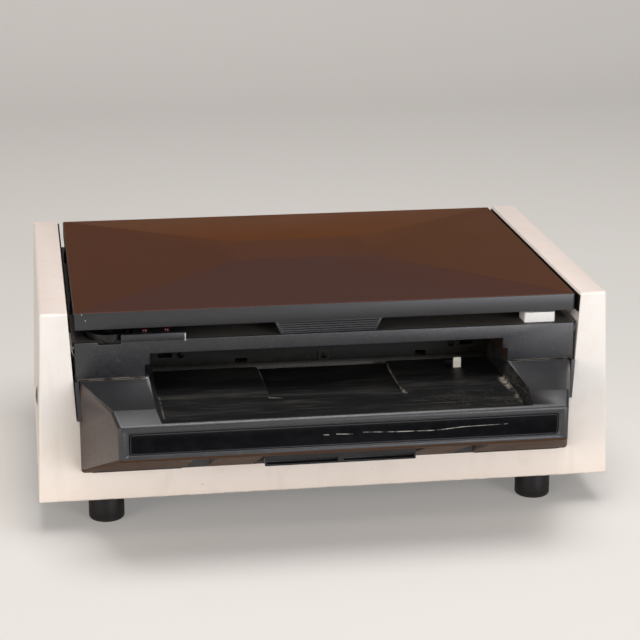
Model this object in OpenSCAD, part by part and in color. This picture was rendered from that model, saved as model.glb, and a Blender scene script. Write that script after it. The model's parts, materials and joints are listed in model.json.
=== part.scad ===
// Processor for large sheets of instant film.
// A white U-shaped case holds a feed shelf, a fascia with the film mouth, a pair of
// squeeze rollers with their drive, an exit tray and a hinged lid.
// X runs to the right, Y to the back and Z up. Each piece is drawn from the middle of
// the case's front face at its underside, and at_case() then moves it so that the
// origin lies under the middle of the whole object, on the surface it stands on.

/* [Case] */
// Width of the case at its foot
case_w = 433; // [427:1:440]
// Width of the case across its top
case_top_w = 422.4; // [417:0.2:425]
// Depth of the case from front face to back
case_d = 285.5; // [282:0.5:300]
// Height of the case without its feet
case_h = 145.2; // [144:0.2:150]
// Width of each side wall at its top
wall_top_w = 20.1; // [18.5:0.1:21]
// Width of each side wall at its foot
wall_foot_w = 32.8; // [30:0.1:34]
// Thickness of the case's moulded skin
case_t = 3.5; // [2.5:0.1:4]
// Rounding of the case's upper edges
case_edge_r = 2.5; // [1.5:0.5:4]
// Rounding of the case's lower edges
case_foot_r = 1; // [0.5:0.5:2.5]
// Height of the strip under the front opening
floor_z = 22.3; // [20:0.1:24]
// Radius of the opening's lower corners
opening_r = 8; // [5:0.5:10]
// Height at which the opening widens by a small step
step_z = 62.8; // [50:0.2:70]
// Width of that step on each side
step_w = 2; // [1:0.1:2.4]
// Bulkheads inside the hollow side walls and floor
bulkheads = 6; // [2:1:8]

/* [Feet] */
// Height of the rubber feet
foot_h = 25; // [18:1:32]
// Diameter of the rubber feet
foot_d = 27; // [22:1:34]
// Distance of the feet from the middle
foot_x = 166; // [155:1:170]
// Distance of the feet from the front and back of the case
foot_y = 29; // [25:1:36]

/* [Lid] */
// Height of the lid's rim
lid_rim_h = 13; // [11:0.5:15]
// Gap between the lid's ends and the walls
lid_gap = 3.9; // [3.2:0.1:5]
// Thickness of the lid's skin and rim
lid_t = 3; // [2:0.2:3.4]
// Height of the plateau above the lid's edge
relief_h = 3; // [1:0.5:4]
// Half width of the plateau
plateau_half = 54; // [40:1:70]
// Front edge of the plateau
plateau_y0 = 124; // [110:1:140]
// Back edge of the plateau
plateau_y1 = 180; // [165:1:200]
// Open angle of the lid
lid_open = 92; // [60:1:92]
// Height of the finger gap under the lid
finger_gap = 10; // [9:0.5:11]

/* [Grip] */
// Width of the ribbed grip where it meets the lid
grip_top_w = 80; // [60:1:100]
// Width of the ribbed grip at its lower edge
grip_low_w = 72; // [50:1:90]
// Number of ribs across the grip
grip_ribs = 5; // [3:1:7]

/* [Fascia] */
// Height of the bar above the film mouth
brow_h = 10.1; // [8:0.1:12]
// Distance of the film mouth's sides from the walls of the rollers' bay
mouth_inset = 3.8; // [3:0.1:8]
// Height above the shelf at which the mouth widens
mouth_step_h = 10; // [6:0.5:12]
// Thickness of the fascia's front wall
fascia_t = 3; // [2:0.2:3]
// Height of the lamp block above the fascia
block_h = 5; // [3:0.5:6]
// Distance of the lamp block's left end from the fascia's end
block_inset = 33.7; // [32:0.1:36]
// Width of the lamp block
block_w = 47.3; // [44:0.1:52]
// Gap between the fascia's ends and the walls
fascia_gap = 2; // [0.5:0.1:4]

/* [Feed shelf] */
// Height of the film mouth above the shelf's arms
mouth_h = 18.3; // [16:0.1:20]
// Depth of the feed channel below the arms
channel_depth = 13; // [11:0.5:14]
// Room on each side of the rollers' bay for the drive and the controls
side_bay = 47; // [46:0.5:49]
// Ledge on each side of the feed channel's floor, out to the bay's wall
channel_ledge = 5.7; // [5:0.1:10]
// How far the sheet's path lies to the right of the middle
path_x = 2.8; // [0:0.1:3]
// Outward lean of the channel's left wall
lean_left = 6; // [0:0.2:8]
// Outward lean of the channel's right wall
lean_right = 3.2; // [0:0.2:5]
// How far the shelf's nose stands out of the case
nose_reach = 84.5; // [76:0.5:92]
// How far the shelf's sides lie inside the fascia's ends
shelf_inset = 1.8; // [1:0.1:5]
// Half width of the shelf at its nose
nose_half = 160.2; // [156:0.2:166]
// How far the nose's top edge lies below the arms
nose_drop = 7; // [4:0.2:10]
// Height of the nose from its lower to its top edge
nose_h = 27.5; // [24:0.1:32]
// Distance from the nose back to the crease across the arms
crease_back = 15.5; // [10:0.5:20]
// Wall of the shelf moulding
shelf_t = 3; // [2:0.2:3.4]
// Rounding of the shelf's outer edges
shelf_edge_r = 3; // [2:0.5:4]
// Half width of the dip in the channel's floor
dip_half = 49.3; // [35:0.1:60]
// Depth of the dip
dip_depth = 3; // [1:0.5:3.5]
// Distance of the name strip's ends from the corners of the nose
strip_inset = 7.2; // [6:0.1:20]
// Height of the name strip
strip_h = 15.5; // [12:0.5:17]

/* [Rollers] */
// Diameter of both rollers
roller_d = 25; // [24:0.1:25.4]
// Distance of the rollers behind the case's front face
roller_y = 78; // [77:0.5:80]
// Height of the nip above the channel's floor
nip_rise = 3; // [2:0.5:4]
// Diameter of the roller shafts
shaft_d = 8; // [6:0.5:9]
// Radial running clearance of shafts and pins
running = 0.05; // [0.02:0.01:0.09]

/* [Drive] */
// Pitch diameter of a gear in millimetres for each tooth
gear_module = 1.27; // [1.25:0.01:1.3]
// Teeth of the two roller gears
roller_teeth = 20; // [20:1:20]
// Teeth of the idler gear
idler_teeth = 36; // [32:1:38]
// Teeth of the motor's pinion
pinion_teeth = 14; // [13:1:16]
// Width of the gears
gear_w = 8; // [6:0.5:9]
// Diameter of the motor
motor_d = 35; // [30:0.5:35]
// Length of the motor
motor_l = 52; // [40:1:60]

/* [Controls] */
// Diameter of the timer dial
dial_d = 34; // [31:0.5:34]
// Thickness of the timer dial
dial_h = 6.6; // [5:0.2:7]
// Distance of the timer dial's axis from the fascia's end
dial_inset = 25.5; // [25:0.1:26]
// Width of the start button
button_w = 23.5; // [18:0.5:26]
// Depth of the start button
button_d = 16.4; // [12:0.2:18]
// Height of the start button
button_h = 7.6; // [6:0.2:8]
// Distance of the start button's middle from the fascia's end
button_inset = 25.7; // [22:0.1:28]
// Travel of the start button
button_travel = 4; // [2:0.5:5]
// Width of the film feeler's tab
feeler_w = 5.6; // [4:0.2:7]
// Distance of the film feeler's middle from the channel's right wall
feeler_inset = 28.3; // [20:0.1:40]
// Height of the film feeler's tip above the channel's floor
feeler_rise = 7.4; // [5:0.2:8]

/* [Hidden] */
$fn = 48;
// Small overlap that makes cuts pass through and unions join
eps = 0.01;
// Gap between pieces that are assembled with a fit you can feel
fit = 0.3;
// Gap between faces that touch when the screws are tight
seat = 0.05;

// Heights, from the case's underside
lid_z = case_h - lid_rim_h;
deck_z = lid_z - finger_gap;
deck_t = 3;
deck_low_z = deck_z - deck_t;
mouth_z = deck_z - brow_h;
shelf_z = mouth_z - mouth_h;
nose_top_z = shelf_z - nose_drop;
nose_low_z = nose_top_z - nose_h;
feed_z = shelf_z - channel_depth;
nip_z = feed_z + nip_rise;
block_z = deck_z + block_h;

// Places across and along the case, from the narrowest part of the opening inwards
room_half = min(half_in(floor_z) - step_w, half_in(deck_z));
floor_half = half_in(floor_z + opening_r) - step_w - opening_r;
rail_w = 5;
lid_half = min(half_in(lid_z), half_in(case_h)) - lid_gap;
lid_d = case_d - 4;
fascia_half = min(half_in(shelf_z), half_in(deck_z)) - fascia_gap;
shelf_half = fascia_half - shelf_inset;
strip_w = 2*(nose_half - strip_inset);
bay_half = room_half - side_bay;
channel_w = 2*(bay_half - channel_ledge);
mouth_half = bay_half - mouth_inset;
tunnel_t = 3;
tunnel_half = bay_half + tunnel_t;
channel_x0 = path_x - channel_w/2;
channel_x1 = path_x + channel_w/2;
guide_y = 58;
guide_t = 2.5;
frame_t = 2;
frame_x = tunnel_half + 3.2;
frame_y0 = 46;
frame_y1 = 112;
chamber_half = bay_half + 1.7;
chamber_y0 = 64;
tray_y0 = roller_y + roller_d/2 + 3.5;
tray_y1 = case_d - 23.5;
tray_t = 2.5;
tray_z = feed_z - 6;
panel_t = 2.5;
panel_y = case_d - 4 - panel_t;
base_t = 1.5;
plug_y = 85;
plug_z = step_z - 7;
plug_r = 7.7;
post_x = min(floor_half, half_in(deck_low_z) - rail_w) - 7.2;
post_ys = [60, case_d - 35.5];

// Rollers and gears
roller_gap = 2*gear_module*roller_teeth/2 - roller_d;
roller_half = bay_half - 0.8;
low_axis_z = nip_z - gear_module*roller_teeth/2;
high_axis_z = nip_z + gear_module*roller_teeth/2;
function gear_reach(a, b) = gear_module*(a + b)/2;
pinion_z = floor_z + motor_d/2 + 1.3;
idler_z = max(
    low_axis_z - gear_reach(roller_teeth, idler_teeth)*sin(26),
    floor_z + gear_module*(idler_teeth/2 + 1) + 1
);
idler_angle = asin((idler_z - low_axis_z)/gear_reach(roller_teeth, idler_teeth));
idler_y = roller_y + gear_reach(roller_teeth, idler_teeth)*cos(idler_angle);
pinion_angle = asin((pinion_z - idler_z)/gear_reach(idler_teeth, pinion_teeth));
pinion_y = idler_y + gear_reach(idler_teeth, pinion_teeth)*cos(pinion_angle);
gear_x = frame_x + frame_t + 3;
bush_r = shaft_d/2 + 2;
bush_flange_r = bush_r + 2;
block_half = shaft_d/2 + 3;
spring_top_z = deck_low_z - 6.5;
stud_r = 3;
motor_shaft_r = 3;

// Lid hinge
hinge_x = 120;
hinge_y = lid_d - 4;
hinge_pin_r = 1.5;
lug_r = 4;
lug_half = 4;
ear_r = 3.5;
ear_t = 3;
bracket_t = 1.5;
hinge_z = deck_z + bracket_t + 0.5 + lug_r;

// Controls
block_x0 = block_inset - fascia_half;
block_x1 = block_x0 + block_w;
dial_x = dial_inset - fascia_half;
dial_y = fascia_t + fit + dial_d/2;
dial_z = deck_z - 2.2;
button_x = fascia_half - button_inset;
button_y = fascia_t + 0.6;
button_z = deck_z + fit;
stem_w = 10;
stem_d = 6;
lamp_xs = [block_x1 - 29.5, block_x1 - 13.5];
lamp_y = fascia_t + 4.5;
lamp_r = 2.5;
feeler_x = channel_x1 - feeler_inset;
feeler_y = 33;
feeler_z = feed_z - 9.5;
feeler_pin_r = 1;
feeler_ear_t = 1.5;

// The pieces at the back, in a row from the left screw block inwards
rear_block_zs = [floor_z + 20, deck_low_z - 18];
rear_screw_x = min(half_in(rear_block_zs[0]) - step_w, half_in(rear_block_zs[1])) - 10.2;
rear_block_r = 5;
rocker_x = 6.6 + 2 + rear_block_r - rear_screw_x;
inlet_x = rocker_x + 40;
fuse_x = inlet_x + 48;
board_x = 10.2 - floor_half;
board_w = 100;

// Screws of the guide plate: place across, height, and how far the seat stands out
guide_low_z = feed_z + 2.5;
bracket_x = 5.3;
bracket_rise = 1.4;
guide_screw_x = bay_half - 30.8;
guide_screw_places = [
    [bracket_x, guide_low_z + 3.5, bracket_rise],
    [-guide_screw_x, feed_z + 11, 0],
    [guide_screw_x, feed_z + 11, 0]
];
socket_z = floor_z + 26.5;
rocker_tilt = 7;

// Pockets under the shelf's nose, and the screws at their ends
pocket_x0 = 91;
pocket_x1 = 108;
pocket_y0 = 6.5 - nose_reach;
pocket_y1 = -11.4;
lug_y = 0.5;
shelf_screw_z = floor_z + 16;
cut_half = 58.5;
cut_y = 9.5 - nose_reach;

case_white = "#EDE7DD";
black = "#2B2B2E";
deep_black = "#1E1E20";

function mix(a, b, t) = a + (b - a)*t;
function half_out(z) = mix(case_w/2, case_top_w/2, z/case_h);
function half_in(z) = mix(case_w/2 - wall_foot_w, case_top_w/2 - wall_top_w, z/case_h);
draft_angle = atan((case_w - case_top_w)/2/case_h);

// Points of an arc about c
function arc(c, r, a0, a1, n = 6) =
    [for (i = [0:n]) c + r*[cos(mix(a0, a1, i/n)), sin(mix(a0, a1, i/n))]];
function mirrored(p) = [for (i = [len(p) - 1:-1:0]) [-p[i][0], p[i][1]]];

// Right half of the trough between the walls, drawn in by g, up to the height top
function trough_side(g, top) = let (r = opening_r) concat(
    [
        [half_in(top) - g, top],
        [half_in(step_z) - g, step_z + g],
        [half_in(step_z) - step_w - g, step_z + g]
    ],
    arc([half_in(floor_z + r) - step_w - r, floor_z + r], r - g, 0, -90)
);
function trough(g, top) = concat(trough_side(g, top), mirrored(trough_side(g, top)));

// Half width of the feed shelf at a distance y from the case's front, negative in front
function flank(y) = shelf_half + (shelf_half - nose_half)*y/nose_reach;
// Height of the feed shelf's sloped underside, outside and inside the moulding
function belly(y) = floor_z + 0.1 - (nose_low_z - floor_z)*y/nose_reach;
function inner_belly(y) = belly(y) + shelf_t*1.1;
// Place of the feed channel's side walls at a height z
function wall_left(z) = channel_x0 - lean_left*(z - feed_z)/channel_depth;
function wall_right(z) = channel_x1 + lean_right*(z - feed_z)/channel_depth;

// Moves a piece from the case's own frame to the frame of the whole object
module at_case() {
    translate([0, (nose_reach - case_d)/2, foot_h])
        children();
}

// Extrudes an outline given in X and Z from y0 to y1
module along_y(y0, y1) {
    translate([0, y1, 0])
        rotate([90, 0, 0])
            linear_extrude(y1 - y0)
                children();
}

// Extrudes an outline given in Y and Z from x0 to x1
module along_x(x0, x1) {
    translate([x0, 0, 0])
        rotate([90, 0, 90])
            linear_extrude(x1 - x0)
                children();
}

// Box between two corners
module box(a, b) {
    translate(a)
        cube(b - a);
}

// Cylinder about an axis along X, from x0 to x1
module rod_x(x0, x1, y, z, r) {
    translate([x0, y, z])
        rotate([0, 90, 0])
            cylinder(h = x1 - x0, r = r);
}

// Cylinder about an axis along Y, from y0 to y1
module rod_y(x, y0, y1, z, r) {
    translate([x, y0, z])
        rotate([-90, 0, 0])
            cylinder(h = y1 - y0, r = r);
}

// Rectangle with round corners about the origin
module round_rect(w, h, r) {
    square([w - 2*r, h], center = true);
    square([w, h - 2*r], center = true);
    for (x = [-1, 1], y = [-1, 1])
        translate([x*(w/2 - r), y*(h/2 - r)])
            circle(r);
}

module both_sides() {
    for (side = [-1, 1])
        scale([side, 1, 1])
            children();
}

// Pan-head screw with its head upwards and its seat at the origin
module screw(head_r, head_h, r, length) {
    difference() {
        cylinder(h = head_h, r = head_r);
        for (a = [0, 90])
            rotate(a)
                translate([-head_r*0.6, -0.4, head_h*0.5])
                    cube([head_r*1.2, 0.8, head_h]);
    }
    translate([0, 0, -length])
        cylinder(h = length + eps, r = r);
}

// Spur gear with involute flanks about the Z axis, tooth 0 on +X
function involute(r, rb) = r <= rb ? 0 : tan(acos(rb/r))*180/PI - acos(rb/r);
function tooth_half(r, n) = let (rp = gear_module*n/2, rb = rp*cos(20))
    90/n + involute(rp, rb) - involute(r, rb) - 0.11*180/PI/rp;
function tooth_radii(n) = let (rp = gear_module*n/2, m = gear_module)
    [rp - 1.25*m, rp - 0.75*m, rp - 0.35*m, rp, rp + 0.45*m, rp + 0.85*m];
module gear_outline(n) {
    radii = tooth_radii(n);
    last = len(radii) - 1;
    polygon([
        for (t = [0:n - 1])
            for (k = [0:2*last + 1])
                let (i = k <= last ? k : 2*last + 1 - k,
                     a = 360*t/n + (k <= last ? -1 : 1)*tooth_half(radii[i], n))
                    radii[i]*[cos(a), sin(a)]
    ]);
}

// Turn of a gear of n teeth that meshes with one of m teeth turned by a, which lies
// at the angle dir on the other side of the first
function meshed(a, m, n, dir) = dir + 180 - 360/n*(0.5 - (dir - a)*m/360);
low_turn = 0;
high_turn = meshed(low_turn, roller_teeth, roller_teeth, 90);
idler_turn = meshed(low_turn, roller_teeth, idler_teeth, idler_angle);
pinion_turn = meshed(idler_turn, idler_teeth, pinion_teeth, pinion_angle);

// Gear on an axis along X, with a hub and lightening holes when it is large
module gear_x_axis(n, y, z, turn, bore_r, hub_r) {
    rp = gear_module*n/2;
    difference() {
        union() {
            translate([gear_x, y, z])
                rotate([90, 0, 90])
                    rotate(turn)
                        linear_extrude(gear_w)
                            gear_outline(n);
            rod_x(gear_x - 0.6, gear_x + gear_w + 1, y, z, hub_r);
        }
        rod_x(gear_x - 2, gear_x + gear_w + 3, y, z, bore_r);
        if (n > 30)
            for (a = [0:60:300])
                rod_x(gear_x - 2, gear_x + gear_w + 2, y + rp*0.55*cos(a), z + rp*0.55*sin(a), rp*0.19);
    }
}

// Coil spring standing on the origin: tube of n sides swept up a helix
module coil(r, wire_r, height, turns) {
    steps = turns*8;
    sides = 6;
    rise = (height - 2*wire_r)/steps;
    ring = [for (s = [0:steps], k = [0:sides - 1])
        let (a = 360*s/8, b = 360*k/sides, q = r + wire_r*cos(b))
            [q*cos(a), q*sin(a), wire_r + rise*s + wire_r*sin(b)]];
    last = steps*sides;
    polyhedron(
        points = ring,
        faces = concat(
            [[for (k = [0:sides - 1]) k]],
            [[for (k = [sides - 1:-1:0]) last + k]],
            [for (s = [0:steps - 1], k = [0:sides - 1])
                let (i = s*sides + k, j = s*sides + (k + 1)%sides)
                    [i, i + sides, j + sides]],
            [for (s = [0:steps - 1], k = [0:sides - 1])
                let (i = s*sides + k, j = s*sides + (k + 1)%sides)
                    [i, j + sides, j]]
        )
    );
}

// The case

module outer_block() {
    hull()
        for (side = [-1, 1], back = [0, 1], r = [case_foot_r, case_edge_r]) {
            z = r == case_foot_r ? r : case_h - r;
            translate([side*(half_out(z) - r), mix(r, case_d - r, back), z])
                sphere(r, $fn = 24);
        }
}

module hollow_outline() {
    top = case_h - case_t;
    difference() {
        polygon([
            [-half_out(0) + case_t, -1],
            [half_out(0) - case_t, -1],
            [half_out(top) - case_t, top],
            [-half_out(top) + case_t, top]
        ]);
        polygon(trough(-case_t, case_h + 1));
    }
}

module foot_places() {
    for (x = [-foot_x, foot_x], y = [foot_y, case_d - foot_y])
        translate([x, y, 0])
            children();
}

module case_shell() {
    rib_t = 2.5;
    bay = (case_d - 2*case_t + rib_t)/(bulkheads + 1);
    color(case_white) at_case() difference() {
        union() {
            difference() {
                outer_block();
                along_y(-1, case_d + 1)
                    polygon(trough(0, case_h + 1));
                for (i = [0:bulkheads])
                    along_y(case_t + i*bay, case_t + (i + 1)*bay - rib_t)
                        hollow_outline();
                box(
                    [-half_out(0) + case_t, case_t, -1],
                    [half_out(0) - case_t, case_d - case_t, base_t]
                );
            }
            foot_places()
                translate([0, 0, base_t])
                    cylinder(h = floor_z - base_t - 1, r = 8);
            both_sides() {
                // Rail that the deck rests on
                along_y(8, case_d - 8)
                    polygon([
                        [half_in(deck_low_z) - rail_w, deck_low_z - seat],
                        [half_in(deck_low_z) + 1, deck_low_z - seat],
                        [half_in(deck_low_z - 8) + 1, deck_low_z - 8]
                    ]);
                // Blocks that take the rear panel's screws
                for (z = rear_block_zs)
                    box(
                        [rear_screw_x - rear_block_r, panel_y - 17, z - 6],
                        [half_in(z) + 2, panel_y - seat, z + 6]
                    );
                // Lugs that take the feed shelf's screws
                box(
                    [pocket_x0 + 3, lug_y, floor_z - 1],
                    [pocket_x1 - 3, lug_y + 6, shelf_screw_z + 6]
                );
            }
        }
        foot_places()
            translate([0, 0, -1])
                cylinder(h = floor_z - 4, r = 2 + seat);
        both_sides() {
            rod_y(
                (pocket_x0 + pocket_x1)/2, lug_y - 1, lug_y + 7, shelf_screw_z, 1.5 + seat
            );
            for (z = rear_block_zs)
                rod_y(rear_screw_x, panel_y - 13, panel_y + 1, z, 1.5 + seat);
            translate([half_out(plug_z), plug_y, plug_z])
                rotate([0, 90 - draft_angle, 0])
                    translate([0, 0, -case_t - 2])
                        cylinder(h = case_t + 4, r = 3 + seat);
        }
    }
}

module base_plate() {
    color("#55565A") at_case() difference() {
        box(
            [-half_out(0) + case_t + fit, case_t + fit, 0],
            [half_out(0) - case_t - fit, case_d - case_t - fit, base_t - seat]
        );
        foot_places()
            translate([0, 0, -1])
                cylinder(h = base_t + 2, r = 2.3);
    }
}

// Rubber foot: a cup with its screw seat inside and a rounded lower edge
module foot(x, y) {
    r = foot_d/2;
    bead = 2.5;
    color(deep_black) at_case() translate([x, y, -foot_h])
        rotate_extrude()
            polygon(concat(
                [[2.3, foot_h*0.5], [5, foot_h*0.5], [5, 0]],
                arc([r - bead, bead], bead, -90, 0),
                [[r, foot_h - 1], [r - 1, foot_h - seat], [2.3, foot_h - seat]]
            ));
}

module foot_front_left() {
    foot(-foot_x, foot_y);
}

module foot_front_right() {
    foot(foot_x, foot_y);
}

module foot_rear_left() {
    foot(-foot_x, case_d - foot_y);
}

module foot_rear_right() {
    foot(foot_x, case_d - foot_y);
}

module foot_screws() {
    color("silver") at_case() foot_places()
        translate([0, 0, -foot_h*0.5 - seat])
            rotate([180, 0, 0])
                screw(4, 2.6, 2, foot_h*0.5 + floor_z - 7);
}

// Low domed plugs over the fixing holes in the side walls
module side_plugs() {
    sag = 1.2;
    dome_r = (plug_r*plug_r + sag*sag)/(2*sag);
    half_angle = asin(plug_r/dome_r);
    color(black) at_case() both_sides()
        translate([half_out(plug_z), plug_y, plug_z])
            rotate([0, 90 - draft_angle, 0])
                translate([0, 0, seat]) {
                    rotate_extrude()
                        polygon(concat(
                            [[0, 0]],
                            arc([0, sag - dome_r], dome_r, 90 - half_angle, 90)
                        ));
                    translate([0, 0, -case_t - 2])
                        cylinder(h = case_t + 2 + eps, r = 3);
                }
}

// Dark strips along the tops of the walls, beside the lid's ends
module liner() {
    z0 = lid_z - 2;
    z1 = case_h - case_edge_r;
    t = 1.2;
    along_y(1, case_d - 1)
        polygon([
            [half_in(z0) - seat, z0],
            [half_in(z1) - seat, z1],
            [half_in(z1) - seat - t, z1],
            [half_in(z0) - seat - t, z0]
        ]);
}

module left_liner() {
    color(deep_black) at_case() mirror([1, 0, 0])
        liner();
}

module right_liner() {
    color(deep_black) at_case()
        liner();
}

// Front: fascia with the mouth, and the feed shelf

module fascia_outline() {
    z0 = shelf_z + fit;
    notch_x = dial_x - dial_d/4;
    polygon([
        [-fascia_half, z0],
        [fascia_half, z0],
        [fascia_half, deck_z],
        [block_x0, deck_z],
        [block_x0, deck_z - 2],
        [notch_x, deck_z - 2],
        [notch_x, deck_z],
        [-fascia_half, deck_z]
    ]);
}

module mouth_outline() {
    step = shelf_z + mouth_step_h;
    polygon([
        [-mouth_half, mouth_z],
        [mouth_half, mouth_z],
        [mouth_half, step],
        [bay_half, step],
        [bay_half, shelf_z - 1],
        [-bay_half, shelf_z - 1],
        [-bay_half, step],
        [-mouth_half, step]
    ]);
}

module front_fascia() {
    back = guide_y - seat;
    color(black) at_case() {
        along_y(0, fascia_t)
            difference() {
                fascia_outline();
                mouth_outline();
            }
        // Roof and sides of the mouth
        box([-tunnel_half, fascia_t - eps, mouth_z], [tunnel_half, back, mouth_z + tunnel_t]);
        both_sides()
            box(
                [bay_half, fascia_t - eps, shelf_z + fit],
                [tunnel_half, back, mouth_z + eps]
            );
        // Ledge under the deck's front edge
        box(
            [block_x1, fascia_t - eps, deck_low_z - 3],
            [tunnel_half + 1, 9, deck_low_z - seat]
        );
    }
}

// Outer form of the shelf in front of the case
module shelf_block() {
    r = shelf_edge_r;
    nose = -nose_reach + r;
    crease = -nose_reach + crease_back;
    side_line = [
        [6, shelf_z - r],
        [crease, shelf_z - r],
        [nose, nose_top_z - r],
        [nose, nose_low_z + r],
        [6, belly(6) + r]
    ];
    hull()
        for (side = [-1, 1], p = side_line)
            translate([side*(flank(p[0]) - r), p[0], p[1]])
                sphere(r, $fn = 24);
}

// Space inside the shelf moulding, behind its walls
module shelf_hollow() {
    t = shelf_t;
    nose = -nose_reach + t;
    crease = -nose_reach + crease_back;
    intersection() {
        along_x(-shelf_half - 5, shelf_half + 5)
            polygon([
                [20, shelf_z - t],
                [crease, shelf_z - t],
                [nose, nose_top_z - t],
                [nose, inner_belly(nose)],
                [20, inner_belly(20)]
            ]);
        linear_extrude(shelf_z)
            polygon([
                [-flank(20) + t*1.05, 20],
                [flank(20) - t*1.05, 20],
                [flank(nose) - t*1.05, nose],
                [-flank(nose) + t*1.05, nose]
            ]);
    }
}

// Rim behind the shelf's walls that enters the case's opening
module spigot() {
    gap = 1;
    along_y(-4, 10)
        difference() {
            polygon(trough(gap, shelf_z));
            polygon(trough(gap + shelf_t, shelf_z + 1));
            translate([-pocket_x1 - 3, 0])
                square([2*pocket_x1 + 6, floor_z + gap + shelf_t + 1]);
        }
}

// The channel's cross-section from the height low upwards, and the pan round it
module channel_outline(low, grow = 0) {
    top = shelf_z + (grow > 0 ? 0 : 5);
    polygon([
        [wall_left(max(low, feed_z)) - grow, low],
        [wall_right(max(low, feed_z)) + grow, low],
        [wall_right(top) + grow, top],
        [wall_left(top) - grow, top]
    ]);
}

// Cut for the feed channel, its dip and its chamfered back lip
module channel_cut() {
    front = -nose_reach + shelf_t + 1.2;
    back = guide_y - 0.5;
    flare = 4;
    along_y(front, back + 1)
        channel_outline(feed_z);
    along_y(-nose_reach - 1, front + 1)
        channel_outline(nose_top_z);
    translate([path_x, 0, 0])
        intersection() {
            along_x(-dip_half - flare, dip_half + flare)
                polygon([
                    [-26, feed_z + eps],
                    [-6, feed_z - dip_depth],
                    [back + 1, feed_z - dip_depth],
                    [back + 1, feed_z + 1],
                    [-26, feed_z + 1]
                ]);
            linear_extrude(shelf_z)
                polygon(concat(
                    dip_side(flare),
                    mirrored(dip_side(flare))
                ));
        }
    along_x(wall_left(feed_z), wall_right(feed_z))
        polygon([[back - 3.5, feed_z + eps], [back + 1, feed_z - 2.4], [back + 1, feed_z + eps]]);
}

// Right edge of the dip, which bends outwards at both ends
function dip_side(flare) = concat(
    arc([dip_half + 30, -10], 30, 180 + 32, 180, 4),
    [[dip_half, 40], [dip_half + flare/2, guide_y + 2]]
);

// Wedge on the channel's right wall that steers the sheet towards the rollers
module side_wedge() {
    along_x(channel_x1 + 0.1, wall_right(shelf_z) + 0.5)
        polygon([
            [-62, feed_z - eps],
            [-62, shelf_z - 1.8],
            [3, feed_z - eps]
        ]);
}

// Walls of the deep pockets under the nose, with a boss for each screw
module pocket_walls() {
    t = 2.5;
    both_sides() {
        intersection() {
            box(
                [pocket_x0 - t, pocket_y0 - t, 0],
                [pocket_x1 + t, pocket_y1 + t, belly(pocket_y0) + 6.5 + t]
            );
            shelf_block();
        }
        rod_y((pocket_x0 + pocket_x1)/2, pocket_y1 + t - eps, lug_y - seat, shelf_screw_z, 4.5);
    }
}

module feed_shelf() {
    pan_t = shelf_t + dip_depth;
    ear_x = feeler_w/2 + fit;
    color(black) at_case() difference() {
        union() {
            difference() {
                union() {
                    difference() {
                        shelf_block();
                        shelf_hollow();
                        // Flat back against the case
                        box([-case_w, -fit, 0], [case_w, 40, case_h]);
                    }
                    // Pan under the channel
                    intersection() {
                        along_y(-nose_reach + 1, guide_y - 0.5)
                            difference() {
                                channel_outline(feed_z - pan_t, shelf_t);
                                channel_outline(feed_z);
                            }
                        union() {
                            shelf_block();
                            box([-tunnel_half - 5, -1, 0], [tunnel_half + 5, guide_y, shelf_z]);
                        }
                    }
                    spigot();
                }
                channel_cut();
            }
            side_wedge();
            pocket_walls();
            // Ears of the film feeler's pin
            for (x = [feeler_x - ear_x - feeler_ear_t, feeler_x + ear_x])
                box(
                    [x, feeler_y - 3.5, feeler_z - 3],
                    [x + feeler_ear_t, feeler_y + 3.5, feed_z - pan_t + 1]
                );
        }
        // Slot for the film feeler and the dark pocket beside it
        box(
            [feeler_x - feeler_w/2 - 5.5, feeler_y - 3, feeler_z + 5],
            [feeler_x - feeler_w/2 + eps, feeler_y + 16, feed_z + 1]
        );
        box(
            [feeler_x - ear_x, feeler_y - 3, feed_z - pan_t - 1],
            [feeler_x + ear_x, feeler_y + 16, feed_z + 1]
        );
        rod_x(
            feeler_x - feeler_w, feeler_x + feeler_w, feeler_y, feeler_z,
            feeler_pin_r + 0.02
        );
        // Cut-out round the insert in the sloped underside, open to the back
        along_x(-cut_half, cut_half)
            polygon([
                [cut_y, 0],
                [cut_y, inner_belly(cut_y) + 1],
                [12, inner_belly(12) + 1],
                [12, 0]
            ]);
        both_sides() {
            box(
                [pocket_x0, pocket_y0, 0],
                [pocket_x1, pocket_y1, belly(pocket_y0) + 6.5]
            );
            rod_y(
                (pocket_x0 + pocket_x1)/2, pocket_y1 - 1, lug_y + 1, shelf_screw_z, 1.5 + seat
            );
        }
        // Recess for the name strip
        translate([0, 0, (nose_top_z + nose_low_z)/2])
            along_y(-nose_reach - 1, -nose_reach + 0.8)
                round_rect(strip_w + 2*fit, strip_h + 2*fit, 2.5);
    }
}

module shelf_screws() {
    color("silver") at_case() both_sides()
        translate([(pocket_x0 + pocket_x1)/2, pocket_y1 - seat, shelf_screw_z])
            rotate([90, 0, 0])
                screw(3.2, 1.8, 1.5, lug_y - pocket_y1 + 5);
}

// Dark bar with two shallow pockets, let into the shelf's underside
module pull_insert() {
    half = 55.1;
    y0 = -57;
    y1 = -41;
    z0 = belly(y0) - 5.8;
    z1 = belly(y0) + 5;
    wall = 1.4;
    low = seat;
    high = low + 1.8;
    color(deep_black) at_case() difference() {
        union() {
            box([-half, y0, z0], [half, y1, z1]);
            // Flange that rests inside the shelf round the cut-out
            along_x(-cut_half - 3, cut_half + 3)
                polygon([
                    [cut_y - 2.5, inner_belly(cut_y - 2.5) + low],
                    [-34, inner_belly(-34) + low],
                    [-34, inner_belly(-34) + high],
                    [cut_y - 2.5, inner_belly(cut_y - 2.5) + high]
                ]);
        }
        for (x = [-half/2 - 0.5, half/2 + 0.5])
            translate([x, 0, (z0 + belly(y0))/2])
                along_y(y0 - 1, y0 + 4)
                    square([half - 2*wall - 0.6, belly(y0) - z0 - 2*wall], center = true);
    }
}

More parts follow.
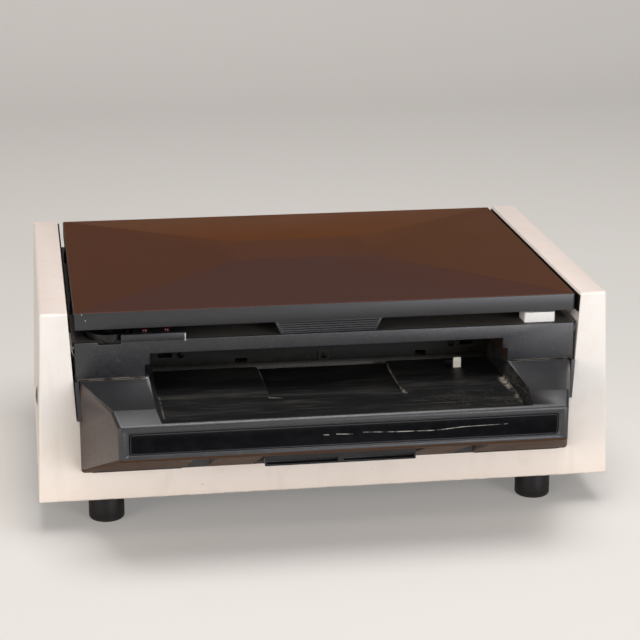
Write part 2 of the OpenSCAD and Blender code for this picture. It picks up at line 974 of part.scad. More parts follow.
module name_strip() {
    color("#232326") at_case()
        translate([0, 0, (nose_top_z + nose_low_z)/2])
            along_y(-nose_reach + 0.1, -nose_reach + 0.8 - seat)
                round_rect(strip_w, strip_h, 2.2);
}

// Plate that closes the back of the mouth above the film's path
module guide_plate() {
    low = guide_low_z;
    top = deck_low_z - fit;
    color(black) at_case() difference() {
        union() {
            along_y(guide_y, guide_y + guide_t)
                difference() {
                    translate([-tunnel_half, low])
                        square([2*tunnel_half, top - low]);
                    translate([-63.5, low - 1])
                        square([9.2, 4.8]);
                    translate([77, low - 1])
                        square([8.4, 4.8]);
                    for (x = [18.3 - bay_half, bay_half - 18.3])
                        translate([x, feed_z + 11])
                            square([11, 4], center = true);
                }
            box(
                [bracket_x - 4.7, guide_y - bracket_rise, low],
                [bracket_x + 4.7, guide_y + eps, low + 7]
            );
        }
        for (p = guide_screw_places)
            rod_y(p[0], guide_y - 2, guide_y + guide_t + 1, p[1], 1.5 + seat);
    }
}

module guide_screws() {
    color("silver") at_case()
        for (p = guide_screw_places)
            translate([p[0], guide_y - p[2] - seat, p[1]])
                rotate([90, 0, 0])
                    screw(2.4, 1.4, 1.5, guide_t + p[2]);
}

// Deck, tray and rear panel

module deck_outline() {
    half = half_in(deck_low_z) - 1.5;
    y0 = fascia_t + fit;
    difference() {
        translate([-half, y0])
            square([2*half, case_d - 2 - y0]);
        translate([-chamber_half, chamber_y0])
            square([2*chamber_half, tray_y1 - chamber_y0]);
        translate([dial_x, dial_y])
            circle(dial_d/2 + 0.5);
        // Slot for the start button's stem
        translate([button_x - stem_w/2 - fit, button_y + 4 - fit])
            square([stem_w + 2*fit, stem_d + button_travel + 2*fit]);
        for (x = [-post_x, post_x], y = post_ys)
            translate([x, y])
                circle(2);
        // Space under the lamp block
        translate([block_x0 + 12, y0 + 1.5])
            square([block_x1 - block_x0 - 15, 26]);
    }
}

module inner_deck() {
    rim_in = 2;
    rim_t = 3;
    y0 = fascia_t + fit;
    color(black) at_case() {
        translate([0, 0, deck_low_z])
            linear_extrude(deck_t)
                deck_outline();
        // Light trap round the chamber
        translate([0, 0, deck_z - eps])
            linear_extrude(finger_gap + 1.5)
                difference() {
                    translate([-chamber_half - rim_in - rim_t, chamber_y0 - rim_in - rim_t])
                        square([
                            2*(chamber_half + rim_in + rim_t),
                            tray_y1 - chamber_y0 + 2*(rim_in + rim_t)
                        ]);
                    translate([-chamber_half - rim_in, chamber_y0 - rim_in])
                        square([
                            2*(chamber_half + rim_in),
                            tray_y1 - chamber_y0 + 2*rim_in
                        ]);
                }
        // Lamp block, whose front wall stands on the fascia and screens the dial
        translate([0, 0, deck_z - eps])
            difference() {
                union() {
                    box([block_x0 + 9.5, y0 - eps, 0], [block_x1, y0 + 30, block_h]);
                    box([block_x0, 0, seat], [block_x1, fascia_t, block_h]);
                    box([block_x0 + 9.5, fascia_t - eps, seat], [block_x1, y0, block_h]);
                }
                box([block_x0 + 12, y0 + 1.5, -1], [block_x1 - 3, y0 + 27.5, block_h - 2]);
                for (x = lamp_xs)
                    translate([x, lamp_y, 0])
                        cylinder(h = 20, r = lamp_r + seat);
            }
    }
}

module deck_posts() {
    color("silver") at_case()
        for (x = [-post_x, post_x], y = post_ys)
            translate([x, y, floor_z + seat])
                difference() {
                    cylinder(h = deck_low_z - floor_z - 2*seat, r = 4.5, $fn = 6);
                    translate([0, 0, 80])
                        cylinder(h = 40, r = 1.75 + seat);
                }
}

module deck_screws() {
    color("silver") at_case()
        for (x = [-post_x, post_x], y = post_ys)
            translate([x, y, deck_z + seat])
                screw(3.5, 2.2, 1.75, 10);
}

module exit_tray() {
    half = bay_half + 0.7;
    t = tray_t;
    top = deck_low_z - seat;
    color(black) at_case() {
        difference() {
            box([-half - t, tray_y0, tray_z], [half + t, tray_y1 + t, top]);
            box([-half, tray_y0 - 1, tray_z + t], [half, tray_y1, top + 1]);
        }
        // Flanges screwed up under the deck
        both_sides()
            box([half + t - eps, frame_y1 + 4, top - 2.5], [half + t + 8, tray_y1 + t, top]);
        box([-half, tray_y1 + t - eps, top - 2.5], [half, tray_y1 + t + 6, top]);
        // Rails that the sheet slides on
        pitch = half*2/7;
        for (i = [-3:3])
            along_x(i*pitch - 1, i*pitch + 1)
                polygon([
                    [tray_y0 + 1, tray_z + t - eps],
                    [tray_y0 + 8, tray_z + t + 1.6],
                    [tray_y1 - 6, tray_z + t + 1.6],
                    [tray_y1 - 2, tray_z + t - eps]
                ]);
        // Rolled front lip
        rod_x(-half - t, half + t, tray_y0 + 1, tray_z + t, 1.6);
    }
}

module rear_screw_places() {
    both_sides()
        for (z = rear_block_zs)
            translate([rear_screw_x, panel_y + panel_t, z])
                children();
}

module rear_panel() {
    color(black) at_case() difference() {
        along_y(panel_y, panel_y + panel_t)
            difference() {
                polygon(trough(0.8, deck_low_z - seat));
                translate([inlet_x, socket_z])
                    square([28, 21], center = true);
                translate([rocker_x, socket_z])
                    square([13.6, 19.6], center = true);
                translate([fuse_x, socket_z])
                    circle(6.4);
                // Cooling slots
                for (i = [0:13])
                    translate([30 + i*9, 42])
                        square([3.2, 52]);
            }
        rear_screw_places()
            rod_y(0, -10, 10, 0, 1.7);
        for (x = [-20, 20])
            rod_y(inlet_x + x, panel_y - 1, panel_y + 5, socket_z, 1.6);
    }
}

module rear_screws() {
    color("silver") at_case() {
        rear_screw_places()
            translate([0, seat, 0])
                rotate([-90, 0, 0])
                    screw(3, 1.8, 1.5, 10);
        for (x = [-20, 20])
            translate([inlet_x + x, panel_y + panel_t + 2 + seat, socket_z])
                rotate([-90, 0, 0])
                    screw(2.6, 1.5, 1.5, 6);
    }
}

module power_inlet() {
    out = panel_y + panel_t + seat;
    color(deep_black) at_case() translate([inlet_x, 0, socket_z])
        difference() {
            union() {
                along_y(out, out + 2)
                    round_rect(50, 22.5, 3);
                along_y(out - 19, out + eps)
                    square([27, 20], center = true);
            }
            along_y(out - 14, out + 3)
                polygon([
                    [-12, -8.2],
                    [12, -8.2],
                    [12, 4],
                    [8, 8.2],
                    [-8, 8.2],
                    [-12, 4]
                ]);
            for (x = [-7, 0, 7])
                along_y(out - 17, out - 13)
                    translate([x, x == 0 ? 3.5 : -2.5])
                        square([2, 4], center = true);
            for (x = [-20, 20])
                rod_y(x, out - 1, out + 3, 0, 1.6);
        }
}

module inlet_pins() {
    out = panel_y + panel_t + seat;
    color("silver") at_case() translate([inlet_x, 0, socket_z])
        for (x = [-7, 0, 7])
            along_y(out - 16.9, out - 5)
                translate([x, x == 0 ? 3.5 : -2.5])
                    square([1.9, 3.9], center = true);
}

module fuse_holder() {
    out = panel_y + panel_t + seat;
    color(deep_black) at_case() difference() {
        union() {
            rod_y(fuse_x, out - 30, out + eps, socket_z, 6.2);
            rod_y(fuse_x, out, out + 1.8, socket_z, 8.2);
            rod_y(fuse_x, out + 1.7, out + 3.2, socket_z, 5.6);
        }
        box([fuse_x - 4, out + 2.4, socket_z - 0.7], [fuse_x + 4, out + 4, socket_z + 0.7]);
    }
}

rocker_pivot_y = panel_y + panel_t - 2;

module switch_housing() {
    out = panel_y + panel_t + seat;
    color(deep_black) at_case() translate([rocker_x, 0, socket_z])
        difference() {
            union() {
                along_y(out, out + 1.5)
                    round_rect(15.4, 21.4, 1.5);
                along_y(out - 16, out + eps)
                    square([13.2, 19.2], center = true);
            }
            along_y(out - 9, out + 3)
                square([9.6, 17.6], center = true);
            rod_x(-6, 6, rocker_pivot_y, 0, 1 + running);
        }
}

module switch_rocker() {
    color(black) at_case() translate([rocker_x, rocker_pivot_y, socket_z]) {
        rotate([rocker_tilt, 0, 0])
            along_x(-4.5, 4.5)
                polygon([
                    [-4, -3],
                    [0, -8],
                    [4.2, -8],
                    [3, 0],
                    [4.2, 8],
                    [0, 8],
                    [-4, 3]
                ]);
        rod_x(-5.8, 5.8, 0, 0, 1);
    }
}

// Lid and hinge

module lid_form(inset, drop) {
    r = 1.5;
    hull() {
        for (x = [-lid_half + r + inset, lid_half - r - inset], y = [r + inset, lid_d - r - inset])
            translate([x, y, 0]) {
                translate([0, 0, lid_z])
                    cylinder(h = 1, r = r, $fn = 24);
                translate([0, 0, case_h - drop - r])
                    sphere(r, $fn = 24);
            }
        box(
            [-plateau_half, plateau_y0, case_h - drop - 2],
            [plateau_half, plateau_y1, case_h - drop + relief_h]
        );
    }
}

module lid() {
    rib_z = lid_z + 4.5;
    pitch = lid_half*2/7;
    color("#33302F") at_case() difference() {
        union() {
            difference() {
                lid_form(0, 0);
                translate([0, 0, -eps])
                    lid_form(lid_t, lid_t);
                box(
                    [-lid_half + lid_t, lid_t, lid_z - 1],
                    [lid_half - lid_t, lid_d - lid_t, lid_z + 2]
                );
            }
            // Ribs under the skin
            for (x = [-3:3])
                box(
                    [x*pitch - 0.9, lid_t - eps, rib_z],
                    [x*pitch + 0.9, lid_d - lid_t + eps, case_h - 2]
                );
            for (y = [0.2, 0.4, 0.6, 0.8])
                box(
                    [-lid_half + lid_t - eps, y*lid_d - 0.9, rib_z],
                    [lid_half - lid_t + eps, y*lid_d + 0.9, case_h - 2]
                );
            // Hinge lugs
            for (x = [-hinge_x, hinge_x]) {
                rod_x(x - lug_half, x + lug_half, hinge_y, hinge_z, lug_r);
                box(
                    [x - lug_half, hinge_y - lug_r, hinge_z],
                    [x + lug_half, hinge_y + lug_r, case_h - 2]
                );
            }
        }
        for (x = [-hinge_x, hinge_x])
            rod_x(x - 5, x + 5, hinge_y, hinge_z, hinge_pin_r + running);
    }
}

// Ribbed finger grip under the lid's front edge
module lid_grip() {
    z1 = lid_z - seat;
    z0 = deck_z + 0.5;
    face_y = 0.6;
    t = 3.2;
    frame_w = 2.2;
    pitch = (z1 - z0 - 0.8)/grip_ribs;
    color(black) at_case() {
        difference() {
            along_y(face_y, face_y + t)
                polygon([
                    [-grip_top_w/2, z1],
                    [grip_top_w/2, z1],
                    [grip_low_w/2, z0],
                    [-grip_low_w/2, z0]
                ]);
            for (i = [0:grip_ribs - 1]) {
                z = z0 + 0.4 + (i + 0.5)*pitch;
                half = mix(grip_low_w/2, grip_top_w/2, (z - z0)/(z1 - z0)) - frame_w;
                along_x(-half, half)
                    polygon([
                        [face_y - 1, z - 0.3*pitch],
                        [face_y - 1, z + 0.3*pitch],
                        [face_y + 1, z + 0.1*pitch],
                        [face_y + 1, z - 0.1*pitch]
                    ]);
            }
        }
        // Tongue behind the lid's rim
        box(
            [-grip_low_w/2 + 4, lid_t + seat, z1 - 1.5],
            [grip_low_w/2 - 4, lid_t + 2, lid_z + 4]
        );
    }
}

module hinge_brackets() {
    color("silver") at_case()
        for (x = [-hinge_x, hinge_x])
            translate([x, 0, 0])
                difference() {
                    union() {
                        box(
                            [-15, hinge_y - 7, deck_z + seat],
                            [15, case_d - 2.2, deck_z + bracket_t]
                        );
                        for (s = [-lug_half - fit - ear_t, lug_half + fit]) {
                            rod_x(s, s + ear_t, hinge_y, hinge_z, ear_r);
                            box(
                                [s, hinge_y - ear_r, deck_z + bracket_t - eps],
                                [s + ear_t, hinge_y + ear_r, hinge_z]
                            );
                        }
                    }
                    rod_x(-10, 10, hinge_y, hinge_z, hinge_pin_r + 0.02);
                    for (s = [-11.5, 11.5])
                        translate([s, hinge_y - 1, deck_z - 1])
                            cylinder(h = 5, r = 1.5 + seat);
                }
}

module hinge_pins() {
    reach = lug_half + fit + ear_t + 0.6;
    color("silver") at_case()
        for (x = [-hinge_x, hinge_x])
            rod_x(x - reach, x + reach, hinge_y, hinge_z, hinge_pin_r);
}

module hinge_screws() {
    color("silver") at_case()
        for (x = [-hinge_x, hinge_x], s = [-11.5, 11.5])
            translate([x + s, hinge_y - 1, deck_z + bracket_t + seat])
                screw(2.4, 1.4, 1.5, bracket_t - 0.1);
}

// Rubber buffers on the deck that carry the lid's side rims
module lid_buffers() {
    color(deep_black) at_case()
        for (x = [-1, 1], y = [post_ys[0] + 18, post_ys[1] - 20])
            translate([x*(lid_half - lid_t/2), y, deck_z + seat])
                cylinder(h = finger_gap - fit - seat, r = 2.4);
}

// Roller frames, rollers and drive

module frame_outline(long) {
    top = deck_low_z - 1;
    polygon(concat(
        [[frame_y0, floor_z + seat]],
        long ? [[pinion_y + 22, floor_z + seat], [pinion_y + 22, pinion_z + 21],
                [frame_y1 + 2, pinion_z + 40]]
             : [[frame_y1, floor_z + seat]],
        [[frame_y1, top], [frame_y0, top]]
    ));
}

// One side frame, drawn on the right: plate, outward foot, spring seat
module side_frame(long) {
    x0 = frame_x;
    x1 = frame_x + frame_t;
    slot_half = block_half + 0.15;
    foot_end = long ? pinion_y + 22 : frame_y1;
    difference() {
        union() {
            along_x(x0, x1)
                difference() {
                    frame_outline(long);
                    translate([roller_y, low_axis_z])
                        circle(bush_r + seat);
                    translate([roller_y - slot_half, high_axis_z - block_half - 0.8])
                        square([2*slot_half, spring_top_z - high_axis_z + block_half + 0.8]);
                    if (long) {
                        translate([pinion_y, pinion_z])
                            circle(6.5);
                        translate([idler_y, idler_z])
                            circle(stud_r + 0.02);
                        for (a = [60, 180, 300])
                            translate([pinion_y + 14*cos(a), pinion_z + 14*sin(a)])
                                circle(1.5 + seat);
                    }
                }
            box([x1 - eps, frame_y0, floor_z + seat], [x1 + 14, foot_end, floor_z + 2]);
            box(
                [x0 - 3, roller_y - 6, spring_top_z],
                [x1 + 3, roller_y + 6, spring_top_z + 2]
            );
        }
        for (y = [frame_y0 + 10, foot_end - 10])
            translate([x1 + 8, y, floor_z - 1])
                cylinder(h = 5, r = 2 + seat);
    }
}

module left_frame() {
    color("#8D9095") at_case() mirror([1, 0, 0])
        side_frame(false);
}

module right_frame() {
    color("#8D9095") at_case()
        side_frame(true);
}

module frame_screws() {
    x = frame_x + frame_t + 8;
    places = [
        [-x, frame_y0 + 10],
        [-x, frame_y1 - 10],
        [x, frame_y0 + 10],
        [x, pinion_y + 12]
    ];
    color("silver") at_case()
        for (p = places)
            translate([p[0], p[1], floor_z + 2 + seat])
                screw(3.4, 2, 2, 1.9);
}

module tie_bars() {
    end = frame_x - seat;
    color("silver") at_case()
        for (p = [[52, feed_z - 16], [frame_y1 - 8, feed_z - 18]])
            rod_x(-end, end, p[0], p[1], 4);
}

module roller(z) {
    half = roller_half;
    r = roller_d/2;
    color("#B9BCC0") at_case() translate([0, roller_y, z])
        rotate([0, 90, 0])
            rotate_extrude()
                polygon([
                    [0, -frame_x - frame_t - 4],
                    [shaft_d/2 - 0.5, -frame_x - frame_t - 4],
                    [shaft_d/2, -frame_x - frame_t - 3.5],
                    [shaft_d/2, -half],
                    [r - 0.6, -half],
                    [r, -half + 0.6],
                    [r, half - 0.6],
                    [r - 0.6, half],
                    [shaft_d/2, half],
                    [shaft_d/2, gear_x + gear_w + 2],
                    [shaft_d/2 - 0.5, gear_x + gear_w + 2.5],
                    [0, gear_x + gear_w + 2.5]
                ]);
}

module lower_roller() {
    roller(low_axis_z);
}

module upper_roller() {
    roller(high_axis_z);
}

module lower_bushes() {
    x = frame_x;
    color("#B08D57") at_case() both_sides()
        difference() {
            union() {
                rod_x(x - seat, x + frame_t + 1.6, roller_y, low_axis_z, bush_r);
                rod_x(x - 1.4, x - seat + eps, roller_y, low_axis_z, bush_flange_r);
            }
            rod_x(x - 5, x + 10, roller_y, low_axis_z, shaft_d/2 + running);
        }
}

module upper_bushes() {
    x = frame_x;
    color("#B08D57") at_case() both_sides()
        difference() {
            box(
                [x - 1.6, roller_y - block_half, high_axis_z - block_half],
                [x + frame_t + 1.6, roller_y + block_half, high_axis_z + block_half]
            );
            rod_x(x - 5, x + 10, roller_y, high_axis_z, shaft_d/2 + running);
        }
}

module pressure_springs() {
    z0 = high_axis_z + block_half + seat;
    color("silver") at_case()
        for (x = [-1, 1])
            translate([x*(frame_x + frame_t/2), roller_y, z0])
                coil(2.6, 0.45, spring_top_z - z0 - seat, 5);
}

module lower_gear() {
    color("#D8D2C4") at_case()
        gear_x_axis(roller_teeth, roller_y, low_axis_z, low_turn, shaft_d/2 + 0.02, 7);
}

module upper_gear() {
    color("#D8D2C4") at_case()
        gear_x_axis(roller_teeth, roller_y, high_axis_z, high_turn, shaft_d/2 + 0.02, 7);
}

module idler_gear() {
    color("#D8D2C4") at_case()
        gear_x_axis(idler_teeth, idler_y, idler_z, idler_turn, stud_r + running, 6);
}

module idler_stud() {
    end = gear_x + gear_w + 1;
    color("silver") at_case() {
        rod_x(frame_x - 1, end + 2, idler_y, idler_z, stud_r);
        rod_x(frame_x + frame_t + seat, gear_x - 0.6 - 0.4, idler_y, idler_z, stud_r + 2);
        rod_x(end + 0.4, end + 1.4, idler_y, idler_z, stud_r + 2);
    }
}

module drive_pinion() {
    color("#D8D2C4") at_case() {
        gear_x_axis(pinion_teeth, pinion_y, pinion_z, pinion_turn, motor_shaft_r - 0.5, 5);
        rod_x(frame_x - 16, gear_x + gear_w + 2, pinion_y, pinion_z, motor_shaft_r);
    }
}

module drive_motor() {
    x1 = frame_x - seat;
    color("#6F7378") at_case() difference() {
        union() {
            rod_x(x1 - motor_l, x1 - 18, pinion_y, pinion_z, motor_d/2 - 1.5);
            rod_x(x1 - 18.1, x1, pinion_y, pinion_z, motor_d/2);
            rod_x(x1 - eps, x1 + 1.5, pinion_y, pinion_z, 6);
            rod_x(x1 - motor_l - 3, x1 - motor_l + eps, pinion_y, pinion_z, 5);
        }
        rod_x(x1 - 17, x1 + 4, pinion_y, pinion_z, motor_shaft_r + running);
        for (a = [60, 180, 300])
            rod_x(
                x1 - 5, x1 + 1, pinion_y + 14*cos(a), pinion_z + 14*sin(a), 1.5 + seat
            );
    }
}

module motor_screws() {
    color("silver") at_case()
        for (a = [60, 180, 300])
            translate([
                frame_x + frame_t + seat,
                pinion_y + 14*cos(a),
                pinion_z + 14*sin(a)
            ])
                rotate([0, 90, 0])
                    screw(2.4, 1.6, 1.5, 6);
}

// Electrical pieces

module circuit_board() {
    x0 = board_x;
    y0 = post_ys[1] - 110;
    z0 = floor_z + 12;
    tall = tray_z - 13.9 - z0 - 1.6;
    color("#2F6B3C") at_case() {
        box([x0, y0, z0], [x0 + board_w, y0 + 95, z0 + 1.6]);
        for (x = [x0 + 6, x0 + board_w - 6], y = [y0 + 6, y0 + 89])
            translate([x, y, floor_z + seat])
                cylinder(h = z0 - floor_z, r = 3);
        translate([0, 0, z0 + 1.6 - eps]) {
            box([x0 + 12, y0 + 14, 0], [x0 + 31, y0 + 30, 15]);
            box([x0 + 12, y0 + 36, 0], [x0 + 31, y0 + 52, 15]);
            for (x = [44, 62])
                translate([x0 + x, y0 + 24, 0])
                    cylinder(h = tall, r = 7.5);
            box([x0 + 42, y0 + 50, 0], [x0 + 62, y0 + 57.5, 4]);
            box([x0 + 42, y0 + 66, 0], [x0 + 62, y0 + 73.5, 4]);
            box([x0 + 72, y0 + 40, 0], [x0 + 84, y0 + 80, 11]);
        }
    }
}

module transformer() {
    x0 = board_x + board_w + 19;
    y0 = post_ys[1] - 60;
    z0 = floor_z + seat;
    z1 = tray_z - 10.45;
    color("#5A4A3A") at_case() {
        box([x0, y0 + 8, z0], [x0 + 54, y0 + 36, z1]);
        box([x0 + 11, y0, z0 + 9], [x0 + 43, y0 + 44, z1 - 9]);
        box([x0 - 9, y0 + 8, z0], [x0 + 63, y0 + 36, z0 + 2]);
    }
}

// Controls

module timer_dial() {
    teeth = 40;
    r = dial_d/2;
    color(deep_black) at_case() translate([dial_x, dial_y, dial_z])
        difference() {
            linear_extrude(dial_h)
                polygon([
                    for (i = [0:2*teeth - 1])
                        (r - (i%2)*0.5)*[cos(180*i/teeth), sin(180*i/teeth)]
                ]);
            translate([0, 0, dial_h - 0.8])
                difference() {
                    cylinder(h = 2, r = r - 2);
                    translate([0, 0, -1])
                        cylinder(h = 4, r = 5);
                }
            translate([0, 0, -1])
                cylinder(h = 5.5, r = 3 + running);
        }
}

module timer_control() {
    y_min = fascia_t + 1;
    y_max = dial_y + 22;
    color("#6F7378") at_case() {
        box(
            [dial_x - 21, y_min, deck_low_z - 2 - seat],
            [dial_x + 21, y_max, deck_low_z - seat]
        );
        translate([dial_x, dial_y, deck_low_z - 18])
            cylinder(h = 16.5, r = 12);
        translate([dial_x, dial_y, deck_low_z - 3])
            cylinder(h = 7, r = 3);
    }
}

// Red lenses with their lamp bodies
module pilot_lamps() {
    top = block_z;
    low = mouth_z + tunnel_t + 0.1;
    color("#B01818") at_case()
        for (x = lamp_xs)
            translate([x, lamp_y, 0]) {
                translate([0, 0, low])
                    cylinder(h = top + 0.8 - low, r = lamp_r);
                translate([0, 0, top + 0.8])
                    intersection() {
                        sphere(lamp_r);
                        cylinder(h = lamp_r + 1, r = lamp_r + 1);
                    }
            }
}

module start_button() {
    r = 1;
    color("#F1EEE6") at_case() {
        difference() {
            translate([button_x, button_y + button_d/2, button_z])
                linear_extrude(button_h)
                    round_rect(button_w, button_d, r);
            // Open underside of the cap
            box(
                [button_x - button_w/2 + 1.6, button_y + 1.6, button_z - 1],
                [button_x + button_w/2 - 1.6, button_y + button_d - 1.6, button_z + button_h - 2]
            );
        }
        box(
            [button_x - stem_w/2, button_y + 4, deck_low_z - 9],
            [button_x + stem_w/2, button_y + 4 + stem_d, button_z + button_h - 1]
        );
        box(
            [button_x - stem_w/2 - 3, button_y + 4, deck_low_z - 5],
            [button_x + stem_w/2 + 3, button_y + 4 + stem_d, deck_low_z - 2]
        );
    }
}

module start_switch() {
    y0 = button_y + 4 + stem_d + button_travel + 1.2;
    color(deep_black) at_case() {
        box([button_x - 10, y0, deck_low_z - 16], [button_x + 10, y0 + 8, deck_low_z - seat]);
        rod_y(button_x, y0 - 0.9, y0 + eps, deck_low_z - 5, 1.2);
    }
}

// White tab that the sheet pushes back and down as it comes in
module film_feeler() {
    half = feeler_w/2;
    tip = feed_z + feeler_rise - feeler_z;
    color("#EFE9DC") at_case() translate([feeler_x, feeler_y, feeler_z])
        difference() {
            union() {
                rod_x(-half, half, 0, 0, 2.8);
                box([-half, -1.2, 0], [half, 1.2, tip - 1.2]);
                rod_x(-half, half, 0, tip - 1.2, 1.2);
                box([-half, -1, -10], [half, 1, 0]);
            }
            rod_x(-half - 1, half + 1, 0, 0, feeler_pin_r + running);
        }
}

module feeler_pin() {
    reach = feeler_w/2 + fit + feeler_ear_t;
    color("silver") at_case()
        rod_x(feeler_x - reach, feeler_x + reach, feeler_y, feeler_z, feeler_pin_r);
}

module feeler_switch() {
    top = feed_z - shelf_t - dip_depth - seat;
    color(deep_black) at_case() {
        box([feeler_x - 9, feeler_y - 22, top - 11], [feeler_x + 11, feeler_y - 11, top]);
        box(
            [feeler_x - 4, feeler_y - 11 - eps, top - 12],
            [feeler_x + 4, feeler_y - 9.8, top - 7]
        );
    }
}

case_shell();
base_plate();
foot_front_left();
foot_front_right();
foot_rear_left();
foot_rear_right();
foot_screws();
side_plugs();
left_liner();
right_liner();
front_fascia();
feed_shelf();
shelf_screws();
pull_insert();
name_strip();
guide_plate();
guide_screws();
inner_deck();
deck_posts();
deck_screws();
exit_tray();
rear_panel();
rear_screws();
power_inlet();
inlet_pins();
fuse_holder();
switch_housing();
switch_rocker();
lid();
lid_grip();
hinge_brackets();
hinge_pins();
hinge_screws();
lid_buffers();
left_frame();
right_frame();
frame_screws();
tie_bars();
lower_roller();
upper_roller();
lower_bushes();
upper_bushes();
pressure_springs();
lower_gear();
upper_gear();
idler_gear();
idler_stud();
drive_pinion();
drive_motor();
motor_screws();
circuit_board();
transformer();
timer_dial();
timer_control();
pilot_lamps();
start_button();
start_switch();
film_feeler();
feeler_pin();
feeler_switch();
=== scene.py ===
"""Looks of a processor for large sheets of instant film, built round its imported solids."""
import json
import math

import bmesh
import bpy
from mathutils import Matrix, Quaternion, Vector


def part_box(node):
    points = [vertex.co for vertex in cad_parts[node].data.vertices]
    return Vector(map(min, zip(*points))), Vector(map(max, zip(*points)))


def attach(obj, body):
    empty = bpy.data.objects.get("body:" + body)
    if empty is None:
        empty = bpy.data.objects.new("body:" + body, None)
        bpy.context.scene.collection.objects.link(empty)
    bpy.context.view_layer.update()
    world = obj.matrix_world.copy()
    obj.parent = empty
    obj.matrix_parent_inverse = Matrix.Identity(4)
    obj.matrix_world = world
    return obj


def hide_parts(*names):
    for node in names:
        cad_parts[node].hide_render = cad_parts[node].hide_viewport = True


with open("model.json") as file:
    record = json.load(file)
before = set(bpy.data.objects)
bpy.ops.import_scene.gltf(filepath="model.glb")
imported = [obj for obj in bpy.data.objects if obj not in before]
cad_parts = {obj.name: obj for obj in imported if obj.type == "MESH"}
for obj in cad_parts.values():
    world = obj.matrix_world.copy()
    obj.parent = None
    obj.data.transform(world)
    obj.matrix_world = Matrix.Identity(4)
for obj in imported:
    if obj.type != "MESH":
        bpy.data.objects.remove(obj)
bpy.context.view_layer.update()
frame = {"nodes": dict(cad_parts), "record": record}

MM = 0.001
RECORD = frame["record"]
BODY_OF = {node: body for body, nodes in RECORD["behaviour"]["bodies"].items() for node in nodes}
SLOT_OF = {part["node"]: part["material_slot"] for part in RECORD["subparts"]}

# Camera, fitted to the photograph's 640 by 640 frame
AZIMUTH = math.radians(8.708)
ELEVATION = math.radians(16.601)
ROLL = math.radians(0.075)
CAMERA_AT = Vector((-0.21678, -1.47239, 0.57118))
FOCAL_PX = 1968.48
FRAME_PX = 640
SENSOR_MM = 36
NEAREST_M = 0.05
FURTHEST_M = 60


def make_camera():
    """Puts the camera where the photograph's own stood, with its turn and focal length."""
    forward = Vector((
        math.sin(AZIMUTH) * math.cos(ELEVATION),
        math.cos(AZIMUTH) * math.cos(ELEVATION),
        -math.sin(ELEVATION),
    ))
    level = Vector((math.cos(AZIMUTH), -math.sin(AZIMUTH), 0))
    upright = level.cross(forward)
    right = math.cos(ROLL) * level + math.sin(ROLL) * upright
    up = math.cos(ROLL) * upright - math.sin(ROLL) * level
    data = bpy.data.cameras.new("camera")
    data.sensor_width = SENSOR_MM
    data.lens = FOCAL_PX * SENSOR_MM / FRAME_PX
    data.clip_start = NEAREST_M
    data.clip_end = FURTHEST_M
    camera = bpy.data.objects.new("camera", data)
    bpy.context.scene.collection.objects.link(camera)
    turn = Matrix((right, up, -forward)).transposed().to_4x4()
    turn.translation = CAMERA_AT
    camera.matrix_world = turn
    bpy.context.scene.camera = camera


make_camera()


# Colours and nodes
def linear(hex_colour):
    """An sRGB hex value as the linear colour that a socket takes."""
    values = [int(hex_colour[i:i + 2], 16) / 255 for i in (1, 3, 5)]
    curve = [v / 12.92 if v <= 0.04045 else ((v + 0.055) / 1.055) ** 2.4 for v in values]
    return (*curve, 1.0)


def add(tree, kind, inputs=None, **settings):
    """Adds a node. An input takes a value, a socket, a node for its first output, or a list
    of these."""
    node = tree.nodes.new(kind)
    for name, value in settings.items():
        setattr(node, name, value)
    for name, given in (inputs or {}).items():
        for value in given if isinstance(given, list) else [given]:
            if isinstance(value, bpy.types.Node):
                value = value.outputs[0]
            if isinstance(value, bpy.types.NodeSocket):
                tree.links.new(value, node.inputs[name])
            else:
                node.inputs[name].default_value = value
    return node


def new_material(name):
    """An empty material, with its tree and the object's own space in metres."""
    material = bpy.data.materials.new(name)
    material.use_nodes = True
    tree = material.node_tree
    tree.nodes.clear()
    return material, tree, add(tree, "ShaderNodeTexCoord").outputs["Object"]


# Patterns that the finishes share, each made of several nodes. A speck or line is whole over
# this share of its radius or half width, and fades from there to its edge
SPECK_CORE = 0.5
LINE_CORE = 0.3


def patches(tree, place, mm, start, end, detail=3.0, rough=0.5, stretch=(1, 1, 1)):
    """Soft patches about mm wide, 0 where the noise is under start and 1 over end."""
    drawn = add(tree, "ShaderNodeMapping", {"Vector": place, "Scale": stretch})
    cloud = add(tree, "ShaderNodeTexNoise", {
        "Vector": drawn, "Scale": 1 / (mm * MM), "Detail": detail, "Roughness": rough})
    return add(tree, "ShaderNodeMapRange", {"Value": cloud, "From Min": start, "From Max": end})


def specks(tree, place, spacing_mm, radius_mm, share):
    """Loose dust: a share of the cells of that spacing holds one speck."""
    cells = add(tree, "ShaderNodeTexVoronoi", {"Vector": place, "Scale": 1 / (spacing_mm * MM)})
    size = radius_mm / spacing_mm
    near = add(tree, "ShaderNodeMapRange", {
        "Value": cells.outputs["Distance"], "From Min": size, "From Max": size * SPECK_CORE})
    pick = add(tree, "ShaderNodeSeparateColor", {"Color": cells.outputs["Color"]})
    chosen = add(tree, "ShaderNodeMath", {0: pick, 1: share}, operation="LESS_THAN")
    return add(tree, "ShaderNodeMath", {0: near, 1: chosen}, operation="MULTIPLY")


